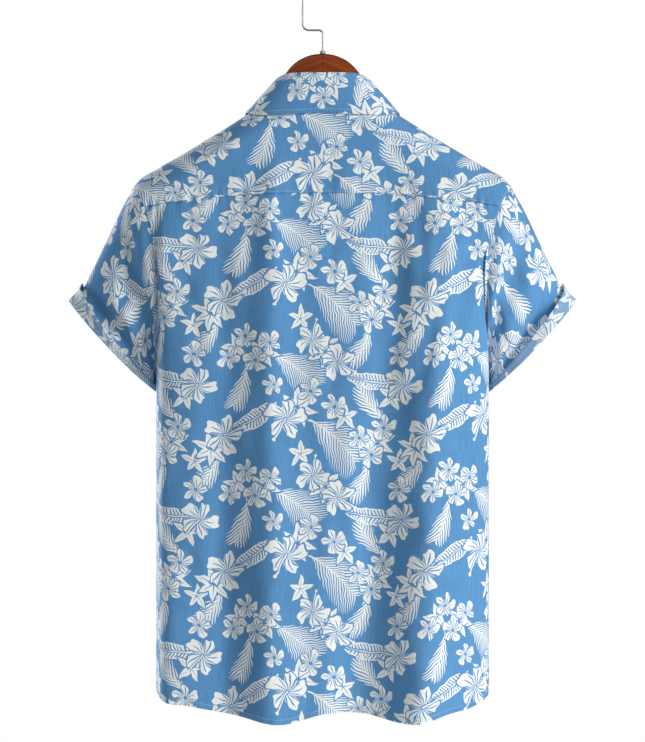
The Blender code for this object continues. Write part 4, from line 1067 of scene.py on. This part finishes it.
def leaf_half(angles, lapped):
    """Half of the leaf's middle points: a half circle over the stand, then straight lines down to its
    edge on the cloth below, bowed out a little."""
    foot, top = stand_line(angles, True)
    x, w = curve(COLLAR_EDGE, angles, 1), curve(COLLAR_EDGE, angles, 2)
    low = over(x, w)
    lift = LEAF_LIFT + (PLY * lap_over(x) * (w < 0) if lapped else 0 * x)
    low = low + both_outward(low, w) * lift[:, None]
    level = np.array([1.0, 1.0, 0.0])
    out = unit(unit((low - foot) * level) + unit((top + (0, 0.010, 0)) * level))
    rise = unit(top - foot)
    crest = top + rise * 2 * GAP
    roll = np.radians(np.linspace(25, 165, 9))[None, :, None]
    over_roll = (1 - np.cos(roll)) * out[:, None] + np.sin(roll) * rise[:, None]
    over_roll = crest[:, None] + LEAF_ROLL * over_roll
    start = crest + out * (2 * LEAF_ROLL)
    down = np.concatenate([np.linspace(0, 0.88, 22), np.linspace(0.90, 1, 9)])[None, :, None]
    bow = LEAF_BULGE * np.sin(np.pi * (0.04 + 0.96 * down))
    fall = start[:, None] * (1 - down) + low[:, None] * down + out[:, None] * bow
    return np.concatenate([over_roll, fall], 1)


angles = np.concatenate([[LEAF_FRONT], COLLAR_ANGLES[COLLAR_ANGLES > LEAF_FRONT + 0.5]])
left, right = leaf_half(angles, True), leaf_half(angles, False) * (-1, 1, 1)
leaf_grid = np.concatenate([left, right[-2::-1]])
leaf_normal = grid_normal(leaf_grid)
from_end = arc(leaf_grid, 0)
from_edge = np.minimum(from_last(leaf_grid), np.minimum(from_end, from_end[-1:] - from_end))
leaf_half_thick = (LEAF_HALF + LEAF_RIDGE * (1 - ease((from_edge - LEAF_SEAM) / LEAF_SLOPE))
                   - LEAF_ROUND * (1 - ease(from_edge / LEAF_SLOPE)))
spots = around_spots(leaf_grid, len(angles) - 1) + LEAF_PRINT
hang(cloth_wall("leaf_cloth", leaf_grid, leaf_normal, leaf_half_thick, -leaf_half_thick, spots, [face, face]),
     "collar_fall")

# ---------------------------------------------------------------------------------------------
# The sleeves: short set-in sleeves, each a tube of one piece from the armhole to its mouth. The
# body's edge laps over the top of each one at the armhole and is topstitched.
SLEEVE_PRINT = {"left": (0.101, 0.094), "right": (-0.059, 0.094)}
MOUTH = (0.2518, -0.0030, -0.4452)         # middle of the sleeve's mouth
MOUTH_HALF = (0.0502, 0.0320, 0.0545)      # half of it along X, Y and Z
MOUTH_BOW = 0.0025                         # its edge swings out by this between its corners
MOUTH_TUCK = (-0.0022, -0.0090, 0.0)       # its lowest point moves by this, round to the front
MOUTH_NORMAL = unit(np.array([MOUTH_HALF[2], 0.0, -MOUTH_HALF[0]]))
# under the arm the seam no longer laps, from a distance along the armhole and over a length
LAP_END, LAP_FADE = 0.222, 0.045
TUCK_END, TUCK_FADE = 0.190, 0.035         # the same for the strip tucked under the body's edge
# the outer edge of the sleeve against a straight line: share of its length, X
SLEEVE_TOP = [(0.00, 0.0000), (0.25, -0.0010), (0.47, -0.0035), (0.60, -0.0050), (0.78, -0.0058),
              (0.88, -0.0070), (0.95, -0.0040), (1.00, 0.0000)]
# folds: angle round the sleeve from its top to the back, share of its length, half widths, height
LEFT_FOLDS = [(80, 0.16, 60, 0.10, 0.0045), (72, 0.42, 34, 0.12, -0.0060), (84, 0.66, 30, 0.10, 0.0055),
              (58, 0.86, 26, 0.08, -0.0075), (104, 0.84, 20, 0.09, -0.0055), (136, 0.74, 22, 0.22, 0.0060),
              (285, 0.16, 60, 0.10, 0.0040), (280, 0.50, 34, 0.14, -0.0055), (250, 0.80, 26, 0.20, 0.0035)]
RIGHT_FOLDS = [(80, 0.16, 60, 0.10, 0.0045), (70, 0.36, 40, 0.12, -0.0040), (64, 0.58, 44, 0.13, 0.0050),
               (80, 0.84, 44, 0.09, -0.0135), (118, 0.60, 22, 0.24, 0.0060), (154, 0.76, 15, 0.22, -0.0090),
               (140, 0.20, 24, 0.14, 0.0060),
               (285, 0.16, 60, 0.10, 0.0040), (272, 0.46, 34, 0.14, -0.0050), (246, 0.76, 26, 0.20, 0.0040)]
# creases: angle, share of the length, half length, half width, lean in degrees, height
LEFT_CREASES = [(60, 0.40, 0.040, 0.009, 28, -0.0020), (80, 0.62, 0.035, 0.009, 20, -0.0018),
                (120, 0.55, 0.060, 0.008, 6, 0.0018), (300, 0.40, 0.040, 0.010, -25, -0.0020),
                (262, 0.62, 0.045, 0.010, -10, 0.0016)]
RIGHT_CREASES = [(118, 0.60, 0.055, 0.008, 8, -0.0022), (72, 0.52, 0.030, 0.009, 24, -0.0018),
                 (95, 0.30, 0.035, 0.009, 30, 0.0016), (290, 0.42, 0.045, 0.010, -22, -0.0018),
                 (255, 0.58, 0.045, 0.010, 6, 0.0016)]
ARC_PER_DEGREE, SLEEVE_LONG = 0.00115, 0.125    # length of cloth to a degree round it, and along it
SLEEVE_LIFT = 0.0002                       # between the sleeve and the body's edge that laps over it
ARM_GAP = 0.0003                           # added to it under the arm, where nothing laps
LAP_LONG, FOLD_RISE = 0.035, 0.10          # shares of the length: to rise from under the body, to fold fully
SLEEVE_STEPS = np.concatenate([[0.0, 0.006, 0.013], np.linspace(0.02, 1, 68)])


def arm_ring():
    """Armhole points from the underarm up the front, over the shoulder and down the back, with the
    trunk's normal there and the angle round the sleeve, 180 to 540, shared out by length."""
    fall = UNDERARM * np.sin(np.linspace(0, np.pi / 2, 86))
    w = np.concatenate([-fall[::-1], fall[1:]])
    middle = over(curve(ARMHOLE, np.abs(w)), w)
    normal = both_outward(middle, w)
    middle[[0, -1], 1] = 0
    normal[[0, -1]] = (1, 0, 0)
    length = arc(middle[:, None], 0)[:, 0]
    top = len(fall) - 1
    turn = np.where(w < 0, 180 + 180 * length / length[top],
                    360 + 180 * (length - length[top]) / (length[-1] - length[top]))
    return w, middle, normal, turn


def sleeve_middle(ring, turn, steps, folds_here, creases):
    """Middle points of a sleeve: straight lines from the armhole to the mouth, bent and folded."""
    a = np.radians(turn)[:, None]
    t = np.asarray(steps)[None, :]
    mouth = MOUTH + np.array(MOUTH_HALF) * np.stack([np.cos(a), np.sin(a), np.cos(a)], -1)
    mouth = mouth + MOUTH_NORMAL * (MOUTH_BOW * np.sin(a) ** 2)[..., None]
    mouth = mouth + np.array(MOUTH_TUCK) * (((1 - np.cos(a)) / 2) ** 3)[..., None]
    grid = ring[:, None] * (1 - t[..., None]) + mouth * t[..., None]
    grid[..., 0] += curve(SLEEVE_TOP, t) * np.maximum(np.cos(a), 0) ** 2
    push = np.zeros((len(turn), len(steps)))
    for angle, share, wide, long, height in folds_here:
        away = (turn[:, None] - angle + 180) % 360 - 180
        push += height * np.exp(-(away / wide) ** 2 - ((t - share) / long) ** 2)
    for angle, share, *shape in creases:
        away = (turn[:, None] - angle + 180) % 360 - 180
        push += crease(away * ARC_PER_DEGREE, (t - share) * SLEEVE_LONG, *shape)
    push *= ease(t / FOLD_RISE) * np.abs(np.sin(a))
    return grid - grid_normal(grid, ring=True) * push[..., None]


def read_line(line, far, at):
    """Points or vectors of a line, read at distances along it: far is where its own points lie."""
    return np.stack([np.interp(at, far, column) for column in line.T], -1)


def read_rows(grid, far, at):
    """Each row of a grid, read at a distance of its own."""
    return np.array([read_line(*row) for row in zip(grid, far, at)])


def under_body(w, armhole, body_normal):
    """Middle points and normals of the strip that lies under the body's edge, out of sight: points
    of the body's own surface a short way in from the armhole, lowered by one layer of cloth."""
    reach = TUCK * (1 - ease((np.abs(w) - TUCK_END) / TUCK_FADE))
    into = 1.5 * TUCK * np.linspace(0, 1, 40) ** 3
    grid = over(curve(ARMHOLE, np.abs(w))[:, None] - into, w[:, None] + 0 * into)
    share = (reach / TUCK)[:, None]
    inner = read_rows(grid, arc(grid, 1), reach) * share + armhole * (1 - share)
    facing = unit(both_outward(inner, w) * share + body_normal * (1 - share))
    return inner - facing * (CLOTH + SLEEVE_LIFT), facing


w, armhole, body_normal, turn = arm_ring()
deep = ease((np.abs(w) - LAP_END) / LAP_FADE)
ring = armhole + np.outer(SLEEVE_LIFT + ARM_GAP * deep, (1.0, 0.0, 0.0))
under, under_normal = under_body(w, armhole, body_normal)
under = armhole * deep[:, None] + under * (1 - deep)[:, None]
sleeves = {}
for side_name, sign, *bends in (("left", 1, LEFT_FOLDS, LEFT_CREASES),
                                ("right", -1, RIGHT_FOLDS, RIGHT_CREASES)):
    flip = np.array([sign, 1, 1])
    middle = sleeve_middle(ring, turn, SLEEVE_STEPS, *bends)
    normal = -grid_normal(middle, ring=True)
    normal[:, 0] = unit(body_normal * (1 - deep)[:, None] + normal[:, 0] * deep[:, None])
    lap = (CLOTH + SLEEVE_LIFT) * (1 - deep)[:, None] * (1 - ease(SLEEVE_STEPS / LAP_LONG))[None]
    middle = middle - normal * lap[..., None]
    middle = np.concatenate([under[:, None] + (ring - armhole)[:, None] * deep[:, None, None], middle], 1)
    first = unit(under_normal * (1 - deep)[:, None] + normal[:, 0] * deep[:, None])
    normal = np.concatenate([first[:, None], normal], 1)
    # the flat cut: lengths round the sleeve's axis, and along it up from the mouth
    grain = middle @ MOUTH_NORMAL
    along = arc(middle - grain[..., None] * MOUTH_NORMAL, 0)
    top = int(np.argmin(np.abs(turn - 360)))
    spots = np.stack([along - along[top], -grain], -1) * (sign, 1) + SLEEVE_PRINT[side_name]
    hang(cloth_wall(f"sleeve_{side_name}_cloth", middle * flip, normal * flip, CLOTH / 2, -CLOTH / 2, spots,
                    two_sides, ring=True), f"sleeve_{side_name}")
    sleeves[side_name] = (flip, middle[:, 1:], normal[:, 1:], spots[:, -1:])

# ---------------------------------------------------------------------------------------------
# The cuffs: the sleeves' ends turned up on the outside, so that the paler reverse of the cloth
# shows. The band is widest at the top of the sleeve and stitched near its free edge.
ROLL, ROLL_UNDER = 0.0014, 0.0007          # radius of the roll, at the top and under the arm
CUFF_SEAM, CUFF_RIDGE = 0.0045, 0.0004     # depth of the turned-in edge, and how much thicker it is
CUFF_ROUND, CUFF_SLOPE = 0.0003, 0.0010    # by how much its edge is rounded, and over what length
# width of the turned-up band and how far its free edge stands off, round the sleeve
CUFF_BAND = [(0, 0.0215, 0.0010), (22, 0.0160, 0.0030), (55, 0.0110, 0.0030), (100, 0.0085, 0.0016),
             (180, 0.0068, 0.0000), (270, 0.0110, 0.0014), (330, 0.0180, 0.0028), (360, 0.0215, 0.0010)]

cuffs = {}
size, off = curve(CUFF_BAND, turn % 360, 1), curve(CUFF_BAND, turn % 360, 2)
for side_name, (flip, middle, normal, end_spots) in sleeves.items():
    share_of_length = np.broadcast_to(SLEEVE_STEPS, middle.shape[:2])
    end, end_normal = middle[:, -1], normal[:, -1]
    along = unit(middle[:, -1] - middle[:, -2])
    length = arc(middle, 1)[:, -1]
    roll = ROLL_UNDER + (ROLL - ROLL_UNDER) * ease((1.2 + np.cos(np.radians(turn))) / 1.6)
    rows = []
    for a in np.radians(np.linspace(0, 180, 13)):
        rows.append(end + along * (0.0001 + roll * math.sin(a))[:, None]
                    + end_normal * (roll * (1 - math.cos(a)))[:, None])
    for u in np.concatenate([np.linspace(0, 0.86, 10)[1:], np.linspace(0.90, 1, 5)]):
        under, under_normal = (read_rows(v, share_of_length, 1 - u * size / length) for v in (middle, normal))
        rows.append(under + unit(under_normal) * (2 * roll + off * u * u)[:, None])
    cuff = np.stack(rows, 1)
    cuff_normal = -grid_normal(cuff, ring=True)
    cuff_normal[:, 0] = end_normal
    to_edge = from_last(cuff)
    half = (CLOTH / 2 + CUFF_RIDGE * (1 - ease((to_edge - CUFF_SEAM) / CUFF_SLOPE))
            - CUFF_ROUND * (1 - ease(to_edge / CUFF_SLOPE)))
    spots = np.stack([np.repeat(end_spots[..., 0], cuff.shape[1], 1), end_spots[..., 1] - arc(cuff, 1)], -1)
    cuff, cuff_normal = cuff * flip, cuff_normal * flip
    hang(cloth_wall(f"cuff_{side_name}_cloth", cuff, cuff_normal, CLOTH / 2, -half, spots, two_sides,
                    ring=True),
         f"cuff_{side_name}")
    cuffs[side_name] = (cuff, cuff_normal, half)

# ---------------------------------------------------------------------------------------------
# The buttons: seven of moulded resin, flat with a raised rim and four holes, sewn on with a cross
# of thread. One closes the stand and six the band; each buttonhole is worked round with thread.
BUTTON_RADIUS, BUTTON_THICK, BUTTON_RIM = 0.0055, 0.0022, 0.0006
BUTTON_TOP, BUTTON_PITCH, BUTTONS_BELOW = -0.300, -0.091, 6
HOLE_OUT, HOLE_RADIUS, HOLE_DEEP = 0.00165, 0.00085, 0.0014
DISH_DEEP, DISH_REACH, DISH_SLOPE = 0.0006, 0.0048, 0.0012    # the hollow of its face
RESIN, RESIN_DEPTH = (0.50, 0.62, 0.73, 1), (0.002, 0.002, 0.002)
HOLE_HALF, HOLE_WIDE = 0.0052, 0.0011      # half length of a buttonhole, and half of its width
CROSS_ASIDE = 0.0002                       # the cross is sewn twice, each thread this far aside
THREAD, FINE_THREAD = 0.00021, 0.00016     # radius of the seams' thread and of the buttons'
THREAD_TINT = (0.62, 0.70, 0.76, 1)


def thread_finish():
    """Spun polyester thread: two plies that wind round each other, faintly glossy."""
    made, shader = blank_finish("sewing thread", {"Roughness": 0.62, "Base Color": THREAD_TINT,
                                                  "Specular IOR Level": 0.35})
    tree = made.node_tree
    spot = add_node(tree, "TexCoord")
    plies = add_node(tree, "TexWave", {"Vector": spot.outputs["Object"], "Scale": 900.0, "Distortion": 0.6})
    feed(shader, {"Normal": relief(tree, plies.outputs["Fac"], 0.4, 0.0001)})
    return made


cord = thread_finish()


def stitches(name, runs, thread=THREAD, length=0.0025, pitch=0.0030, angle=0.0):
    """One mesh of short bars of thread, each with its ends sunk in the cloth.

    A run is an array of points on the cloth and one of its normals. Bars lie along the run, or
    at an angle in degrees to it, at an even pitch."""
    share = np.linspace(-1, 1, 5)
    full = np.sqrt(1 - share ** 2 * 0.85)
    around = circle(6)
    bars = []
    for points, normals in runs:
        far = arc(points[:, None], 0)[:, 0]
        at = np.arange(pitch / 2, far[-1], pitch)
        spot, facing = read_line(points, far, at), unit(read_line(normals, far, at))
        way = unit(read_line(np.gradient(points, far, axis=0), far, at))
        side = unit(np.cross(facing, way))
        way = way * math.cos(math.radians(angle)) + side * math.sin(math.radians(angle))
        side = unit(np.cross(facing, way))
        run = spot[:, None] + way[:, None] * (share * length / 2)[None, :, None]
        run = run + facing[:, None] * (thread * (full - 0.6))[None, :, None]
        ring = (side[:, None, None] * np.cos(around)[None, None, :, None]
                + facing[:, None, None] * np.sin(around)[None, None, :, None])
        bars.append(run[:, :, None] + ring * (thread * full)[None, :, None, None])
    bars = np.concatenate(bars)
    count, rows, sides = bars.shape[:3]
    spot = np.arange(count * rows * sides).reshape(count, rows, sides)
    after = np.roll(spot, -1, 2)
    quads = np.stack([spot[:, :-1], after[:, :-1], after[:, 1:], spot[:, 1:]], -1).reshape(-1, 4)
    caps = [list(end) for bar in spot for end in (bar[0, ::-1], bar[-1])]
    made = mesh_piece(name, bars.reshape(-1, 3), quads, [cord], caps=caps)
    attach(made, "root")


resin, _ = blank_finish("button resin", {"Roughness": 0.22, "Base Color": RESIN, "Coat Weight": 0.5,
                                         "Subsurface Weight": 0.15, "Subsurface Radius": RESIN_DEPTH})
rim = [(0.00002, 0.0), (BUTTON_RADIUS - BUTTON_RIM, 0.0), (BUTTON_RADIUS - 0.0002, 0.0002),
       (BUTTON_RADIUS, BUTTON_RIM), (BUTTON_RADIUS, BUTTON_THICK - BUTTON_RIM),
       (BUTTON_RADIUS - 0.0002, BUTTON_THICK - 0.0002), (BUTTON_RADIUS - BUTTON_RIM, BUTTON_THICK)]
dish = [(r, BUTTON_THICK - DISH_DEEP * ease((DISH_REACH - r) / DISH_SLOPE))
        for r in np.linspace(DISH_REACH - 0.0002, 0.0001, 22)]
flat = turned(rim + dish)
on_dish = flat[len(rim):]
holes = [(HOLE_OUT * math.cos(a), HOLE_OUT * math.sin(a)) for a in np.radians((45, 135, 225, 315))]
for hole_x, hole_y in holes:
    near = np.hypot(on_dish[..., 0] - hole_x, on_dish[..., 1] - hole_y)
    on_dish[..., 2] -= HOLE_DEEP * (1 - ease((near - HOLE_RADIUS * 0.72) / (HOLE_RADIUS * 0.42)))

level, front = stand_grid.shape[1] // 2, int(np.argmin(np.abs(LAP_X)))
facing = stand_normal[front, level] * np.sign(-stand_normal[front, level, 1])
seats = [(stand_grid[front, level] + facing * (STAND_HALF + GAP), facing, (1.0, 0.0, 0.0))]
for i in range(BUTTONS_BELOW):
    spot, facing = (read_line(v[front, ::-1], band[front, ::-1, 2], BUTTON_TOP + i * BUTTON_PITCH)
                    for v in (band, band_normal))
    seats.append((spot + unit(facing) * (BAND_HIGH + GAP), unit(facing), (0.0, 0.0, 1.0)))
# a buttonhole's edge: two half circles with straight sides between, its long way on the second axis
bend = np.radians(np.concatenate([np.linspace(-90, 90, 9), np.linspace(90, 270, 9)]))
loop = np.stack([HOLE_WIDE * np.sin(bend), np.repeat((HOLE_HALF, -HOLE_HALF), 9) + HOLE_WIDE * np.cos(bend),
                 0 * bend], -1)
loop = np.concatenate([loop, loop[:1]])
steps = np.linspace(-1, 1, 5)[:, None]
buttonholes, crosses = [], []
for i, (seat, facing, upright) in enumerate(seats):
    side = unit(np.cross(upright, facing))
    axes = np.stack([side, np.cross(facing, side), facing])
    stands_for(tube(f"button_{i}_resin", seat + flat @ axes, resin), f"button_{i}")
    for first, last in ((0, 2), (1, 3)):
        a, b = (np.array([*holes[k], BUTTON_THICK - 0.0005]) for k in (first, last))
        for shift in (-CROSS_ASIDE, CROSS_ASIDE):
            line = (a + b) / 2 + (b - a) / 2 * steps + shift * np.cross(unit(b - a), (0.0, 0.0, 1.0))
            crosses.append((seat + line @ axes, np.repeat(facing[None], 5, 0)))
    buttonholes.append((seat - facing * GAP + loop @ axes, np.repeat(facing[None], len(loop), 0)))
stitches("button_thread", crosses, thread=FINE_THREAD, length=0.0044, pitch=0.0046)
stitches("buttonhole_stitches", buttonholes, thread=FINE_THREAD, length=0.0012, pitch=0.00034, angle=90)

# ---------------------------------------------------------------------------------------------
# The sewing: rows of lockstitch in pale thread along the yoke, the hem, the turned-up cuffs, the
# buttonhole band, the stand and the edge of the collar leaf.
YOKE_ROW, ARMHOLE_ROW, HEM_ROW = 0.0020, 0.0016, HEM_DEEP - 0.0006    # distances from the edges
LEAF_ROW, CUFF_ROW = 0.0050, 0.0040


def row_over(x, w, high):
    """A run of points on the trunk at x and distances along the cloth, at a height over its surface."""
    at = over(x, w)
    facing = both_outward(at, w)
    return at + facing * high, facing


def row_at(grid, normal, depth, high, keep=slice(None)):
    """A run of points across a grid's columns, at one distance from its last column and a height
    over its surface."""
    high = np.broadcast_to(high, grid.shape[:2])[..., None]
    lines = np.concatenate([grid, normal, high], -1)[keep, ::-1]
    points = read_rows(lines, from_last(grid)[keep, ::-1], np.full(len(lines), depth))
    facing = unit(points[:, 3:6])
    return points[:, :3] + facing * points[:, 6:], facing


def column(grid, normal, k, rows, high):
    """A run of points down one column of a grid, at a height over its surface."""
    return grid[k, rows] + normal[k, rows] * high, normal[k, rows]


seam_x = np.linspace(-0.196, 0.196, 300)
yoke_runs = [row_over(seam_x, back_seam(seam_x) - YOKE_ROW, YOKE_TOP)]
seam_x = np.linspace(neck(FRONT_ANGLE)[0] + 0.002, curve(ARMHOLE, FRONT_YOKE) - 0.002, 120)
seam_w = np.full(len(seam_x), YOKE_ROW - FRONT_YOKE)
yoke_runs += [row_over(sign * seam_x, seam_w, YOKE_TOP) for sign in (-1, 1)]
stitches("yoke_stitches", yoke_runs)

seam_w = np.linspace(-LAP_END, LAP_END, 400)
seam_x = curve(ARMHOLE, np.abs(seam_w)) - ARMHOLE_ROW
stitches("armhole_stitches", [row_over(sign * seam_x, seam_w, CLOTH / 2 + 0.0001) for sign in (-1, 1)])

below_arm = slice(len(arm), None)
stitches("side_stitches", [column(back, back_normal, k, below_arm, CLOTH / 2) for k in (1, -2)])

hem_runs = [row_at(back, back_normal, HEM_ROW, CLOTH / 2, slice(1, -1))]
for sign, (middle, normal, lift) in fronts.items():
    # the buttonhole band covers the start of the left front's hem
    start = len(LAP_X) if sign > 0 else 1
    hem_runs.append(row_at(middle, normal, HEM_ROW, lift + CLOTH / 2, slice(start, -1)))
stitches("hem_stitches", hem_runs)

band_runs = [column(band, band_normal, k, slice(-4), BAND_HIGH) for k in (1, len(LAP_X) - 2)]
band_runs.append(row_at(band, band_normal, HEM_ROW, BAND_HIGH, slice(1, -1)))
stitches("band_stitches", band_runs)

leaf_runs = []
for side in (-1, 1):
    leaf = leaf_grid, side * leaf_normal, leaf_half_thick
    leaf_runs.append(row_at(leaf[0], leaf[1], LEAF_ROW, leaf[2], slice(3, -3)))
    for order in (slice(None, None, -1), slice(None)):
        grid, faces, high = (np.swapaxes(v[order], 0, 1) for v in leaf)
        leaf_runs.append(row_at(grid, faces, LEAF_ROW, high, slice(10, -6)))
stitches("leaf_stitches", leaf_runs)

foot, facing = stand_grid[2:-2, 2], stand_normal[2:-2, 2]
stitches("stand_stitches", [(foot + side * facing * STAND_HALF, side * facing) for side in (-1, 1)])
for side_name, (cuff, cuff_normal, half) in cuffs.items():
    stitches(f"cuff_{side_name}_stitches", [row_at(cuff, -cuff_normal, CUFF_ROW, half)])
